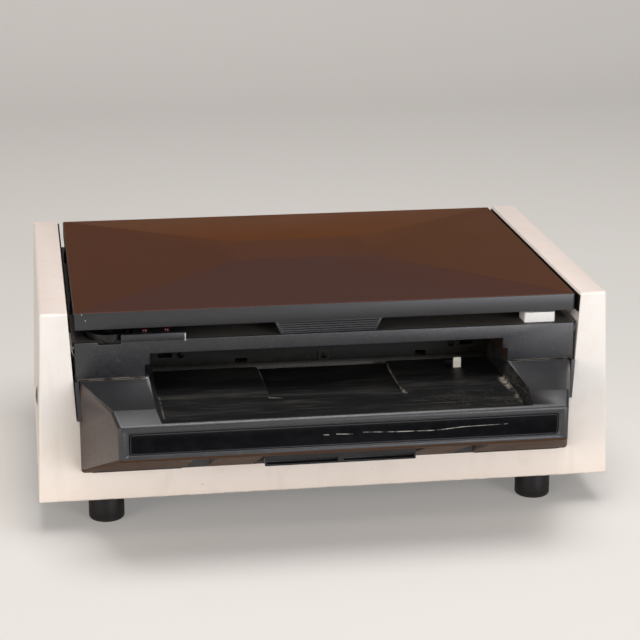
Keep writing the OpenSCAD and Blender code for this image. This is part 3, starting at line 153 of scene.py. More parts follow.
def stroke(tree, place, start, end, half_mm):
    """A worn or dusty line between two points in mm, soft at its sides and ends."""
    a, b = (Vector(p) * MM for p in (start, end))
    along = (b - a).normalized()
    from_a = add(tree, "ShaderNodeVectorMath", {0: place, 1: a}, operation="SUBTRACT")
    reach = add(tree, "ShaderNodeVectorMath", {0: from_a, 1: along}, operation="DOT_PRODUCT")
    kept = add(tree, "ShaderNodeClamp", {"Value": reach.outputs["Value"], "Max": (b - a).length})
    foot = add(tree, "ShaderNodeVectorMath", {0: along, "Scale": kept}, operation="SCALE")
    gap = add(tree, "ShaderNodeVectorMath", {0: from_a, 1: foot}, operation="DISTANCE")
    return add(tree, "ShaderNodeMapRange", {
        "Value": gap.outputs["Value"],
        "From Min": half_mm * MM, "From Max": half_mm * LINE_CORE * MM})


def either(tree, masks):
    """The strongest of several masks."""
    whole = masks[0]
    for mask in masks[1:]:
        whole = add(tree, "ShaderNodeMath", {0: whole, 1: mask}, operation="MAXIMUM")
    return whole


def broken(tree, place, mask, mm):
    """A mask worn through in places about mm long."""
    return add(tree, "ShaderNodeMath", {
        0: mask, 1: patches(tree, place, mm, 0.38, 0.56, 4, 0.65)}, operation="MULTIPLY")


def coat(tree, under, mask, amount, hex_colour):
    """Lays a colour over what is under it, as thick as the mask times the amount."""
    film = add(tree, "ShaderNodeMath", {0: mask, 1: amount}, operation="MULTIPLY")
    # A Mix node's inputs 6 and 7 and its output 2 are the ones for colours
    return add(tree, "ShaderNodeMix", {
        0: film, 6: under, 7: linear(hex_colour)}, data_type="RGBA").outputs[2]


def ramp_to(tree, place, axis, start_mm, end_mm):
    """Rises from 0 to 1 along one axis between two places in mm."""
    parts = add(tree, "ShaderNodeSeparateXYZ", {"Vector": place})
    return add(tree, "ShaderNodeMapRange", {
        "Value": parts.outputs[axis], "From Min": start_mm * MM, "From Max": end_mm * MM})


def leaning(tree, axis, start, end):
    """Rises from 0 to 1 as the surface's own normal, measured along an axis, goes from start
    to end."""
    coordinates = add(tree, "ShaderNodeTexCoord")
    parts = add(tree, "ShaderNodeSeparateXYZ", {"Vector": coordinates.outputs["Normal"]})
    return add(tree, "ShaderNodeMapRange", {
        "Value": parts.outputs[axis], "From Min": start, "From Max": end})


def grain(tree, place, mm, depth_mm, detail=2.0):
    """Bump of an etched, moulded or ground skin whose grains are about mm wide."""
    cloud = add(tree, "ShaderNodeTexNoise", {
        "Vector": place, "Scale": 1 / (mm * MM), "Detail": detail, "Roughness": 0.6})
    return add(tree, "ShaderNodeBump", {
        "Height": cloud, "Strength": 1.0, "Distance": depth_mm * MM})


def wave_scale(mm):
    """The scale at which a Wave node repeats every mm: its own period is 2 pi over 20."""
    return math.tau / 20 / (mm * MM)


def finished(material, tree, colour, mask, roughness, sockets):
    """Ends a finish: its colour, a roughness that runs between two values with a mask, and the
    shader's other sockets."""
    smooth, rough = roughness
    shader = add(tree, "ShaderNodeBsdfPrincipled", {
        "Base Color": colour,
        "Roughness": add(tree, "ShaderNodeMapRange", {
            "Value": mask, "To Min": smooth, "To Max": rough}),
        **sockets})
    add(tree, "ShaderNodeOutputMaterial", {"Surface": shader})
    return material


# Refractive indices that several finishes share
ABS_IOR = 1.53
NYLON_IOR = 1.53

# Etch and tool marks are 0.1 to 0.3 mm wide, drawn at these widths so that they show
FINE_MM = 0.8
COARSE_MM = 0.9

# Finishes of the white case and the rubber feet
CASE_LOW_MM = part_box("case_shell")[0].z / MM
# How far up the case is painted warm and bright, how far up it is darkened fully and darkened at
# all along its bottom edge, and how far a foot is worn
WARM_LOW_BAND_MM = 70
BOTTOM_DARK_FULLY_MM = 0.5
BOTTOM_DARK_MM = 1.3
FOOT_WORN_MM = 3


def etched_abs_white():
    """ABS moulded against a fine matt etch: a broad soft sheen over a warm white. Low down it is
    painted brighter and warmer, partly yellowing and partly painted light bounced up from a warm
    floor; what faces up is pinker, partly dust and partly a painted reflection of a warm backdrop;
    faint streaks and brown specks on the walls, and broken darker marks along the bottom edge."""
    material, tree, place = new_material("abs_white_etched")
    faces_up = leaning(tree, "Z", 0.35, 0.9)
    low = ramp_to(tree, place, "Z", CASE_LOW_MM + WARM_LOW_BAND_MM, CASE_LOW_MM)
    edge = ramp_to(
        tree, place, "Z", CASE_LOW_MM + BOTTOM_DARK_MM, CASE_LOW_MM + BOTTOM_DARK_FULLY_MM)
    yellowed = patches(tree, place, 110, 0.35, 0.7)
    colour = coat(tree, linear("#EFEBE6"), yellowed, 1.0, "#ECE6DF")
    # Painted light: a brighter, warmer band towards the bottom, partly yellowing and partly
    # painted bounce light from a warm floor
    colour = coat(tree, colour, low, 0.95, "#FAECDF")
    # Partly dust and partly a painted reflection of a warm backdrop: a pink tint on what faces up
    colour = coat(tree, colour, faces_up, 0.8, "#EEDDD4")
    colour = coat(tree, colour, patches(tree, place, 26, 0.52, 0.78, 5, 0.6), 0.3, "#DDCDBD")
    streaks = patches(tree, place, 14, 0.56, 0.74, 4, 0.6, (1, 1, 0.12))
    colour = coat(tree, colour, streaks, 0.22, "#D8C7B4")
    colour = coat(tree, colour, specks(tree, place, 16, 0.7, 0.16), 0.6, "#8A6B50")
    colour = coat(tree, colour, specks(tree, place, 31, 1.1, 0.12), 0.45, "#A08A74")
    # Broken darker marks along the bottom edge
    colour = coat(tree, colour, broken(tree, place, edge, 11), 0.4, "#6E5C4C")
    return finished(material, tree, colour, yellowed, (0.46, 0.56), {
        "IOR": ABS_IOR,
        "Specular IOR Level": 0.4,
        "Normal": grain(tree, place, COARSE_MM, 0.018)})


def moulded_rubber_black():
    """Moulded rubber: dull black, with dust rubbed into its skin and a greyer worn foot."""
    material, tree, place = new_material("rubber_moulded_black")
    dust = patches(tree, place, 3, 0.45, 0.75, 5, 0.65)
    colour = coat(tree, linear("#121111"), dust, 0.3, "#3A322C")
    colour = coat(tree, colour, ramp_to(tree, place, "Z", FOOT_WORN_MM, 0), 0.5, "#4A413A")
    return finished(material, tree, colour, dust, (0.5, 0.75), {
        "IOR": 1.52,
        "Specular IOR Level": 0.3,
        "Normal": grain(tree, place, 0.7, 0.03)})


# Finishes of the black mouldings, with their lines of dust, wear and painted highlight: the two
# ends of each, and half its width, in mm
SEAM_Y = -100.7
SEAM_Z = 118.9
# Pale lines along the seam over the arms: partly dust, partly painted highlight of the arms' back
# edges
SEAM_DUST_AND_HIGHLIGHT = (
    ((-184.2, SEAM_Y, SEAM_Z), (-134.7, SEAM_Y, SEAM_Z), 1.5),
    ((140.7, SEAM_Y, SEAM_Z), (186.8, SEAM_Y, SEAM_Z), 1.1),
)
# A bright line down the lamp block's corner: partly wear, partly painted highlight
BLOCK_WEAR_AND_HIGHLIGHT = ((-106.0, SEAM_Y, 151.4), (-106.1, SEAM_Y, 146.4), 0.7)
FEED_Z = 105.2
# Pale lines along the channel's dip and rib edges: partly dust, partly painted highlights
FEED_DUST_AND_HIGHLIGHTS = (
    ((-51.7, -34.8, FEED_Z), (-46.9, -50.7, FEED_Z), 1.4),
    ((-46.9, -50.7, FEED_Z), (-45.8, -84.6, FEED_Z), 1.4),
    ((-45.8, -84.6, FEED_Z), (-46.7, -112.8, FEED_Z - 1), 1.4),
    ((-47.8, -115.5, 102.8), (-38.7, -118.9, 102.8), 2.6),
    ((52.6, -55.2, FEED_Z), (51.4, -81.9, FEED_Z), 1.3),
    ((51.4, -81.9, FEED_Z), (50.7, -105.6, FEED_Z), 1.7),
    ((50.7, -105.6, FEED_Z), (54.2, -123.7, FEED_Z), 1.4),
    ((131.8, -101.2, FEED_Z), (135.8, -157.2, FEED_Z), 4.2),
    ((-126.7, -107.8, 106.8), (-126.5, -155.5, 106.8), 1.3),
    ((-132.5, -121.9, 115.8), (-133.1, -156.3, 115.8), 1.3),
    ((133, -108.1, 109.6), (133, -171.8, 120.6), 1.1),
)


def etched_abs_black():
    """Black ABS with a sandy mould etch: it scatters the light into a mottled grey sheen, and its
    fine sparkles are painted glints in its colour. What faces left is painted brown as a
    reflection of a warm floor. Pale dust lies in the grain, and along the seam over the shelf's
    arms lies a pale line that is partly dust and partly painted highlight."""
    material, tree, place = new_material("abs_black_etched")
    in_grain = patches(tree, place, 1.2, 0.42, 0.68, 3, 0.6)
    film = patches(tree, place, 30, 0.42, 0.72, 4, 0.6)
    painted_sparkle = patches(tree, place, 0.9, 0.6, 0.72, 1)
    faces_up = leaning(tree, "Z", 0.5, 0.9)
    faces_left = leaning(tree, "X", -0.6, -0.95)
    sheen = patches(tree, place, 2.2, 0.35, 0.65, 3, 0.6)
    colour = coat(tree, linear("#111116"), in_grain, 0.12, "#46464C")
    colour = coat(tree, colour, film, 0.16, "#434347")
    # Painted glints: pale flecks in the grain stand in for the etch's sparkle
    colour = coat(tree, colour, painted_sparkle, 0.16, "#77767A")
    colour = coat(tree, colour, faces_up, 0.35, "#2A292A")
    # Painted reflection: a brown tint on what faces left, for a warm floor
    colour = coat(tree, colour, faces_left, 0.6, "#43291A")
    colour = coat(tree, colour, specks(tree, place, 15, 0.4, 0.16), 0.5, "#A9A5A0")
    seam = [stroke(tree, place, *line) for line in SEAM_DUST_AND_HIGHLIGHT]
    # Partly dust and partly painted highlight: the pale line along the seam over the arms
    colour = coat(tree, colour, broken(tree, place, either(tree, seam), 9), 0.75, "#A29A8C")
    # Partly wear and partly painted highlight: a bright line down the raised block's corner
    colour = coat(tree, colour, stroke(tree, place, *BLOCK_WEAR_AND_HIGHLIGHT), 0.9, "#C9C8C6")
    return finished(material, tree, colour, sheen, (0.36, 0.46), {
        "IOR": ABS_IOR,
        "Specular IOR Level": 0.75,
        "Normal": grain(tree, place, FINE_MM, 0.022, 3)})


def dusty_abs_black():
    """The same black ABS where nobody wipes it: dust settles thick and warm grey on what faces
    up, and lies thinner on the back wall of the mouth, so the surface goes flat and dull."""
    material, tree, place = new_material("abs_black_dusty")
    faces_up = leaning(tree, "Z", 0.3, 0.9)
    fall = patches(tree, place, 9, 0.38, 0.7, 5, 0.65)
    wiped = patches(tree, place, 40, 0.4, 0.62, 3, 0.5, (0.3, 1, 1))
    colour = coat(tree, linear("#121110"), fall, 0.22, "#3A372D")
    colour = coat(tree, colour, faces_up, 0.8, "#645F58")
    colour = coat(tree, colour, wiped, 0.15, "#2C2A25")
    colour = coat(tree, colour, specks(tree, place, 9, 0.45, 0.3), 0.6, "#8F8B80")
    return finished(material, tree, colour, fall, (0.55, 0.75), {
        "IOR": ABS_IOR,
        "Specular IOR Level": 0.3,
        "Normal": grain(tree, place, COARSE_MM, 0.03)})


# Where the scribbles start and where they are full, across and along the channel
SCRIBBLES_X_MM = (40, 80)
SCRIBBLES_Y_MM = (-118, -135)
SCRIBBLE_LOOP_MM = 9.24


def rubbed_abs_black():
    """The floor that the sheets slide over: ABS rubbed to a low shine, deep black, with long dusty
    streaks across, short scribbles at the front right, and pale lines along the edges of its dip
    and ribs that are partly dust and partly painted highlights."""
    material, tree, place = new_material("abs_black_rubbed")
    lines = patches(tree, place, 2.4, 0.56, 0.72, 4, 0.7, (0.05, 1, 1))
    haze = patches(tree, place, 17, 0.5, 0.75, 4, 0.6, (0.22, 1, 1))
    right = ramp_to(tree, place, "X", *SCRIBBLES_X_MM)
    front = ramp_to(tree, place, "Y", *SCRIBBLES_Y_MM)
    corner = add(tree, "ShaderNodeMath", {0: right, 1: front}, operation="MULTIPLY")
    swirl = add(tree, "ShaderNodeTexWave", {
        "Vector": place, "Scale": wave_scale(SCRIBBLE_LOOP_MM), "Distortion": 24.0,
        "Detail": 3.0, "Detail Scale": 1.6})
    loops = add(tree, "ShaderNodeMapRange", {"Value": swirl, "From Min": 0.965, "From Max": 0.995})
    loops = add(tree, "ShaderNodeMath", {0: loops, 1: corner}, operation="MULTIPLY")
    colour = coat(tree, linear("#1A1A1B"), haze, 0.5, "#4B4943")
    colour = coat(tree, colour, lines, 0.35, "#74716A")
    colour = coat(tree, colour, loops, 0.4, "#5C584F")
    colour = coat(tree, colour, specks(tree, place, 10, 0.5, 0.4), 0.7, "#A19C92")
    # Partly dust and partly painted highlights along the channel's edges
    dust_and_highlights = [stroke(tree, place, *line) for line in FEED_DUST_AND_HIGHLIGHTS]
    colour = coat(tree, colour, broken(tree, place, either(tree, dust_and_highlights), 6), 0.8, "#A8A294")
    return finished(material, tree, colour, haze, (0.5, 0.62), {
        "IOR": ABS_IOR,
        "Specular IOR Level": 0.18,
        "Normal": grain(tree, place, 1.5, 0.008)})


LID_MARKS = (
    ((-20, -38, 172.5), (-9, -48, 172.5), 0.3),
    ((62, 45, 172.5), (71, 47, 172.5), 0.35),
    ((-96, -20, 171.5), (-95, -26, 171.5), 0.4),
    ((118, 22, 172), (124, 25, 172), 0.4),
)
LID_NICKS = (
    ((-180.6, -100.6, 170), (-180.6, -100.6, 168.6), 0.4),
    ((-178.2, -100.6, 164.3), (-178.0, -100.6, 164.0), 0.45),
    ((-36, -100.4, 170.5), (-34, -100.4, 170.5), 0.6),
)


def lid_top_painted_reflection():
    """ABS with a satin mould finish: the black top is painted dark brown, a painted reflection of
    a warm backdrop, and each of its facets is painted a little apart in tone by the way it leans,
    under dust and hair scratches."""
    material, tree, place = new_material("abs_lid_top_painted_reflection")
    to_back = leaning(tree, "Y", -0.022, 0.03)
    to_right = leaning(tree, "X", 0.006, 0.02)
    to_left = leaning(tree, "X", -0.006, -0.02)
    haze = patches(tree, place, 60, 0.3, 0.75, 4, 0.55)
    # Painted reflection: the black top is painted brown for a warm backdrop, each facet a little
    # apart in tone as it leans
    colour = coat(tree, linear("#472F2A"), to_back, 1.0, "#5E310C")
    colour = coat(tree, colour, to_right, 0.6, "#553119")
    colour = coat(tree, colour, to_left, 0.6, "#4C2B19")
    colour = coat(tree, colour, haze, 0.16, "#513A2E")
    colour = coat(tree, colour, specks(tree, place, 27, 0.5, 0.2), 0.6, "#B7A79B")
    hairs = [stroke(tree, place, *line) for line in LID_MARKS]
    colour = coat(tree, colour, either(tree, hairs), 0.45, "#9A8478")
    return finished(material, tree, colour, haze, (0.48, 0.54), {
        "IOR": ABS_IOR,
        # The top shines far less than bare ABS, so that its painted brown reflection holds
        "Specular IOR Level": 0.08,
        "Normal": grain(tree, place, FINE_MM, 0.012)})


def etched_abs_rim():
    """The lid's edge, in the finer etch of its mould: neutral black with an even satin sheen,
    and bright nicks on its front."""
    material, tree, place = new_material("abs_lid_rim_etched")
    sand = patches(tree, place, 0.9, 0.4, 0.7, 2)
    colour = coat(tree, linear("#0F0F14"), sand, 0.12, "#55555B")
    colour = coat(tree, colour, specks(tree, place, 21, 0.4, 0.2), 0.5, "#A9A5A0")
    nicks = [stroke(tree, place, *line) for line in LID_NICKS]
    colour = coat(tree, colour, either(tree, nicks), 0.85, "#D6D2CC")
    return finished(material, tree, colour, sand, (0.38, 0.44), {
        "IOR": ABS_IOR,
        "Specular IOR Level": 0.75,
        "Normal": grain(tree, place, FINE_MM, 0.016)})


STRIP_LOW, STRIP_HIGH = (Vector(corner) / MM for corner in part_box("name_strip"))
STRIP_SCRATCH_Y = STRIP_LOW.y
STRIP_SCRATCH = (
    ((-16.8, STRIP_SCRATCH_Y, 98.5), (-13.2, STRIP_SCRATCH_Y, 98.3), 0.4),
    ((-7.6, STRIP_SCRATCH_Y, 98.6), (3.7, STRIP_SCRATCH_Y, 98.0), 0.42),
    ((11.5, STRIP_SCRATCH_Y, 99.0), (35.6, STRIP_SCRATCH_Y, 98.1), 0.36),
    ((35.6, STRIP_SCRATCH_Y, 98.1), (64.1, STRIP_SCRATCH_Y, 97.7), 0.42),
    ((64.1, STRIP_SCRATCH_Y, 97.7), (84, STRIP_SCRATCH_Y, 99.3), 0.4),
    ((84, STRIP_SCRATCH_Y, 99.3), (115.8, STRIP_SCRATCH_Y, 99.9), 0.3),
)
BORDER_RADIUS_MM = 2.0
BORDER_INSET_MM = 0.7
BORDER_HALF_MM = 0.35


def rounded_border(tree, place, low, high, radius_mm, inset_mm, half_mm):
    """A thin line that runs inside the edge of a strip with round corners, seen along Y."""
    centre = (low + high) / 2
    half = (high - low) / 2 - Vector((inset_mm + radius_mm, 0, inset_mm + radius_mm))
    moved = add(tree, "ShaderNodeVectorMath", {0: place, 1: centre * MM}, operation="SUBTRACT")
    folded = add(tree, "ShaderNodeVectorMath", {0: moved}, operation="ABSOLUTE")
    # The 1 m along Y is more than the strip's depth, so only X and Z count
    past = add(tree, "ShaderNodeVectorMath", {
        0: folded, 1: (half.x * MM, 1.0, half.z * MM)}, operation="SUBTRACT")
    outside = add(tree, "ShaderNodeVectorMath", {0: past, 1: (0, 0, 0)}, operation="MAXIMUM")
    reach = add(tree, "ShaderNodeVectorMath", {0: outside}, operation="LENGTH")
    return add(tree, "ShaderNodeMath", {
        0: reach.outputs["Value"], 1: radius_mm * MM, 2: half_mm * MM}, operation="COMPARE")


def glossy_styrene_strip():
    """Polystyrene strip, printed on its back: a smooth panel, darker than the moulding round
    it, with a thin grey painted highlight just inside its edge, and one long scratch."""
    material, tree, place = new_material("styrene_strip_glossy")
    mottle = patches(tree, place, 7, 0.45, 0.75, 4, 0.6)
    colour = coat(tree, linear("#09090B"), mottle, 0.25, "#1E1E21")
    painted_edge_highlight = rounded_border(
        tree, place, STRIP_LOW, STRIP_HIGH, BORDER_RADIUS_MM, BORDER_INSET_MM, BORDER_HALF_MM)
    # Painted highlight: a thin grey line just inside the strip's edge stands in for light on the
    # recess's edge
    colour = coat(tree, colour, painted_edge_highlight, 0.4, "#55565B")
    scratch = [stroke(tree, place, *line) for line in STRIP_SCRATCH]
    colour = coat(tree, colour, broken(tree, place, either(tree, scratch), 11), 0.6, "#C4BFB7")
    colour = coat(tree, colour, specks(tree, place, 11, 0.4, 0.2), 0.5, "#8C8A87")
    return finished(material, tree, colour, mottle, (0.34, 0.46), {
        "IOR": 1.59,
        # The scuffed face hardly mirrors, so that the strip stays darker than what holds it
        "Specular IOR Level": 0.04})


# Finishes of the small and inner pieces, and how much duller their marks are
MARKS_DULLER = 0.12
STAINS_DULLER = 0.15


def plain_moulding(name, base, marks, amount, mm, roughness, ior=1.5, specular=0.4):
    """Small moulding: its base colour with soft handling marks that are also a little duller."""
    material, tree, place = new_material(name)
    mottle = patches(tree, place, mm, 0.4, 0.75, 4, 0.6)
    colour = coat(tree, linear(base), mottle, amount, marks)
    return finished(material, tree, colour, mottle, (roughness, roughness + MARKS_DULLER), {
        "IOR": ior,
        "Specular IOR Level": specular,
        "Normal": grain(tree, place, FINE_MM, 0.006)})


def bare_metal(name, base, stained, amount, mm, roughness, drawn=(1, 1, 1)):
    """Metal with its tool marks or plating stains drawn out along the way it was worked."""
    material, tree, place = new_material(name)
    marks = patches(tree, place, mm, 0.35, 0.7, 4, 0.6, drawn)
    colour = coat(tree, linear(base), marks, amount, stained)
    return finished(material, tree, colour, marks, (roughness, roughness + STAINS_DULLER), {
        "Metallic": 1.0,
        "Normal": grain(tree, place, FINE_MM, 0.004)})


def laminated_board():
    """Glass and epoxy laminate under green lacquer: glossy, with paler copper tracks that run
    straight and cross each other beneath the lacquer."""
    material, tree, place = new_material("epoxy_board_lacquered")
    across = patches(tree, place, 3, 0.5, 0.53, 0, 0.5, (0.06, 1, 1))
    down = patches(tree, place, 3, 0.53, 0.56, 0, 0.5, (1, 0.06, 1))
    tracks = either(tree, [across, down])
    colour = coat(tree, linear("#17492B"), tracks, 0.7, "#2F7A48")
    return finished(material, tree, colour, tracks, (0.3, 0.36), {"IOR": 1.5})


IRON_SHEET_MM = 0.5


def stacked_iron():
    """Varnished transformer sheets seen on edge: thin dark lines every half millimetre in
    brown varnish that has pooled here and there."""
    material, tree, place = new_material("iron_sheets_varnished")
    bands = add(tree, "ShaderNodeTexWave", {
        "Vector": place, "Scale": wave_scale(IRON_SHEET_MM)}, bands_direction="X")
    pools = patches(tree, place, 6, 0.45, 0.7)
    colour = coat(tree, linear("#3D3026"), bands, 0.6, "#15110E")
    colour = coat(tree, colour, pools, 0.4, "#5A3A1E")
    return finished(material, tree, colour, pools, (0.5, 0.28), {"IOR": 1.5})


def polished_acrylic_red():
    """Polished acrylic pilot lens, unlit: deep wine red with a hard small highlight."""
    material, tree, place = new_material("acrylic_red_polished")
    cloud = patches(tree, place, 2, 0.4, 0.7)
    colour = coat(tree, linear("#3A0807"), cloud, 0.5, "#1C0302")
    return finished(material, tree, colour, cloud, (0.16, 0.24), {"IOR": 1.49})


# Black moulded ABS seen from below, painted a flat brown as a painted reflection of a warm floor,
# its shine turned down so the brown holds
UNDERSIDE_PAINTED_BROWN = plain_moulding(
    "abs_black_underside_painted_brown", "#483426", "#574131", 0.4, 12, 0.5, ABS_IOR, 0.05)
BLACK = etched_abs_black()
DUSTY = dusty_abs_black()
RUBBED = rubbed_abs_black()
# Oiled black oxide: dark screws that barely shine, as those in the mouth do
BLACK_STEEL = bare_metal("steel_black_oxide", "#2A2826", "#141312", 0.6, 2, 0.42)
MATERIALS = {
    "case_plastic": etched_abs_white(),
    "black_moulding": BLACK,
    "lid_plastic": lid_top_painted_reflection(),
    # Pressed wool felt: swallows light, with brownish lint
    "wall_liner": plain_moulding(
        "felt_pressed_black", "#100E0D", "#31281F", 0.4, 2, 0.82, specular=0.1),
    "strip_plastic": glossy_styrene_strip(),
    # Nylon insert, moulded smooth: slightly waxy black, dull where it is pulled
    "insert_plastic": plain_moulding(
        "nylon_black_smooth", "#0E0E0F", "#2F2F31", 0.4, 9, 0.36, NYLON_IOR),
    "black_rubber": moulded_rubber_black(),
    # Bright zinc plating: cool silver with cloudy patches
    "zinc_steel": bare_metal("steel_zinc_plated", "#B4B4B0", "#85857E", 0.5, 4, 0.3),
    # Centreless ground shaft steel: fine rings round the roller, soft long highlights
    "roller_steel": bare_metal(
        "steel_ground", "#66645F", "#3C3A35", 0.5, 1.5, 0.42, (4, 0.3, 0.3)),
    # Sintered bronze: porous, dark with the oil it holds
    "bronze": bare_metal("bronze_sintered", "#9A7440", "#5C4226", 0.6, 1.2, 0.45),
    # Natural nylon gears: creamy, waxy, greyed by grease
    "gear_nylon": plain_moulding(
        "nylon_natural_cut", "#DCD3BE", "#8E846C", 0.35, 5, 0.4, NYLON_IOR),
    # Turned brass: warm yellow with fine turning rings
    "pinion_brass": bare_metal("brass_turned", "#C4A45A", "#8C7038", 0.4, 1, 0.26),
    # Enamelled sheet steel: even grey, slightly glossy
    "grey_metal": plain_moulding(
        "steel_grey_enamel", "#4A4B4E", "#2C2C2E", 0.3, 14, 0.36),
    "board": laminated_board(),
    "transformer_iron": stacked_iron(),
    "lamp_red": polished_acrylic_red(),
    # Gloss white ABS key: the cleanest surface, faintly greyed where fingers press
    "button_white": plain_moulding(
        "abs_white_gloss", "#F8F6F2", "#DAD3C8", 0.25, 8, 0.3, ABS_IOR),
    # Acetal feeler: milky white, slightly yellow at its edges
    "feeler_white": plain_moulding(
        "acetal_milk_white", "#F8F4E8", "#D9CDB4", 0.35, 4, 0.34, 1.48),
    # Nylon sockets and switches: black with a low gloss
    "socket_plastic": plain_moulding(
        "nylon_black_satin", "#0E0E0F", "#2A2A2C", 0.3, 6, 0.32, NYLON_IOR),
}


# Dressing the solids: points this near are one, stretches this level are one face, edges
# between these two angles are rounded, and those under the last are shaded smooth
SAME_POINT_MM = 0.004
LEVEL_DEG = 0.6
SHARP_DEG = (28, 140)
SMOOTH_DEG = 32
# An edge is rounded where it is this many bevel widths long, and each face beside it has this
# many squares of that width
EDGE_WIDTHS = 2.6
FACE_SQUARES = 6
BEVEL_STEPS = 2
BEVEL_PROFILE = 0.6


def merged_copy(node):
    """A node's mesh with its loose triangles joined up."""
    shape = bmesh.new()
    shape.from_mesh(frame["nodes"][node].data)
    bmesh.ops.remove_doubles(shape, verts=shape.verts, dist=SAME_POINT_MM * MM)
    return shape


def round_edges(shape, width):
    """Rounds the long sharp edges between faces that are large enough to take it."""
    least, most = (math.radians(degrees) for degrees in SHARP_DEG)
    sharp = [
        edge for edge in shape.edges
        if len(edge.link_faces) == 2
        and edge.calc_length() > EDGE_WIDTHS * width
        and least < edge.calc_face_angle(0) < most
        and all(face.calc_area() > FACE_SQUARES * width * width for face in edge.link_faces)
    ]
    bmesh.ops.bevel(
        shape, geom=sharp, offset=width, offset_type="OFFSET", segments=BEVEL_STEPS,
        profile=BEVEL_PROFILE, affect="EDGES", clamp_overlap=True, loop_slide=True)


def crisp_facets(mesh, smallest_mm2, degrees):
    """Keeps the edges between large, nearly level facets sharp."""
    shape = bmesh.new()
    shape.from_mesh(mesh)
    for edge in shape.edges:
        if len(edge.link_faces) == 2:
            large = all(face.calc_area() > smallest_mm2 * MM * MM for face in edge.link_faces)
            if large and edge.calc_face_angle(0) > math.radians(degrees):
                edge.smooth = False
    shape.to_mesh(mesh)
    shape.free()


def place_piece(node, shape):
    """Makes the piece that stands for a node, on the node's own body, and returns its mesh."""
    mesh = bpy.data.meshes.new(node + "_finished")
    shape.to_mesh(mesh)
    shape.free()
    mesh.shade_smooth()
    mesh.set_sharp_from_angle(angle=math.radians(SMOOTH_DEG))
    piece = bpy.data.objects.new(node + "_finished", mesh)
    bpy.context.scene.collection.objects.link(piece)
    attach(piece, BODY_OF[node])
    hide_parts(node)
    return mesh


def dress(node, bevel_mm, finish, worn):
    """Copies a solid, makes its flat stretches whole, rounds its edges and gives it its finish,
    and its second finishes, worn, rubbed or painted, where their tests hold."""
    shape = merged_copy(node)
    bmesh.ops.dissolve_limit(
        shape, angle_limit=math.radians(LEVEL_DEG), use_dissolve_boundaries=False,
        verts=shape.verts, edges=shape.edges)
    if bevel_mm:
        round_edges(shape, bevel_mm * MM)
    bmesh.ops.triangulate(shape, faces=[face for face in shape.faces if len(face.verts) > 4])
    mesh = place_piece(node, shape)
    mesh.materials.append(finish)
    for index, (other, is_worn) in enumerate(worn, 1):
        mesh.materials.append(other)
        for face in mesh.polygons:
            if is_worn(face.center / MM, face.normal.z):
                face.material_index = index
    return mesh


# Widths of the rounded edges in mm
BEVELS = {
    "case_shell": 0.8, "front_fascia": 0.6, "feed_shelf": 0.6, "pull_insert": 0.5,
    "name_strip": 0.3, "guide_plate": 0.3, "inner_deck": 0.4, "exit_tray": 0.5,
    "rear_panel": 0.4, "power_inlet": 0.4, "fuse_holder": 0.4, "switch_housing": 0.3,
    "switch_rocker": 0.3, "lid": 0.6, "lid_grip": 0.2, "hinge_brackets": 0.3,
    "left_frame": 0.3, "right_frame": 0.3, "timer_control": 0.4,
    "start_button": 0.6, "start_switch": 0.3, "film_feeler": 0.3, "feeler_switch": 0.3,
    "drive_motor": 0.5, "circuit_board": 0.2, "transformer": 0.3, "base_plate": 0.3,
    "left_liner": 0.2, "right_liner": 0.2,
}
FINISH_OF = {
    "inner_deck": DUSTY, "exit_tray": DUSTY, "guide_plate": DUSTY, "guide_screws": BLACK_STEEL,
}

# Where a solid has a second finish, in mm, and how far its faces look up there, from -1 to 1
SHELF_TOP_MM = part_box("feed_shelf")[1].z / MM
CHANNEL_X_MM = (-131, 136)
CHANNEL_Z_MM = (SHELF_TOP_MM - 17, SHELF_TOP_MM - 0.4)
CHANNEL_FRONT_MM = -180
CHANNEL_UP = -0.2
UNDERSIDE_TOP_MM = SHELF_TOP_MM - 20
UNDERSIDE_UP = -0.25
BLOCK_X_MM = (-153.5, -105)
BLOCK_BACK_MM = -66
BLOCK_LOW_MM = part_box("front_fascia")[1].z / MM - 0.2
RIM_UP = 0.6


def in_channel(centre, up):
    """The shelf's faces that the sheet slides over, and the walls beside them."""
    left, right = CHANNEL_X_MM
    floor, rim = CHANNEL_Z_MM
    inside = left < centre.x < right and centre.y > CHANNEL_FRONT_MM
    return inside and floor < centre.z < rim and up > CHANNEL_UP


def under_shelf(centre, up):
    """The shelf's outer faces that look down."""
    return up < UNDERSIDE_UP and centre.z < UNDERSIDE_TOP_MM


def in_lamp_block(centre, up):
    """The deck's raised block round the lamps, which is etched as the fascia is. A face that
    looks up has to be 1 mm higher, which leaves out the deck itself."""
    left, right = BLOCK_X_MM
    inside = left < centre.x < right and centre.y < BLOCK_BACK_MM
    return inside and centre.z > BLOCK_LOW_MM + up


SECOND_FINISHES = {
    "feed_shelf": ((RUBBED, in_channel), (UNDERSIDE_PAINTED_BROWN, under_shelf)),
    "inner_deck": ((BLACK, in_lamp_block),),
    # All of the lid but its top
    "lid": ((etched_abs_rim(), lambda centre, up: up < RIM_UP),),
}


# Screws, made by one tree of geometry nodes
CROSS_WIDTH_MM = 0.8
SCREW_TURN = math.radians(37)
# Points belong to a screw's head where they lie this near its full radius, and to its tip
# where they lie this near its end
HEAD_SHARE = 0.95
TIP_MM = 0.01
HEAD_SIDES = 32
DOME_RINGS = 24
SHANK_SIDES = 20
# The dome and the slots, as shares of the head's radius or height
DOME_WIDE = 1.15
DOME_TALL = 1.06
SLOT_REACH = 1.2
SLOT_RISE = 0.95
# A little less than half its length, so that the shank runs into the head
SHANK_DROP = 0.495


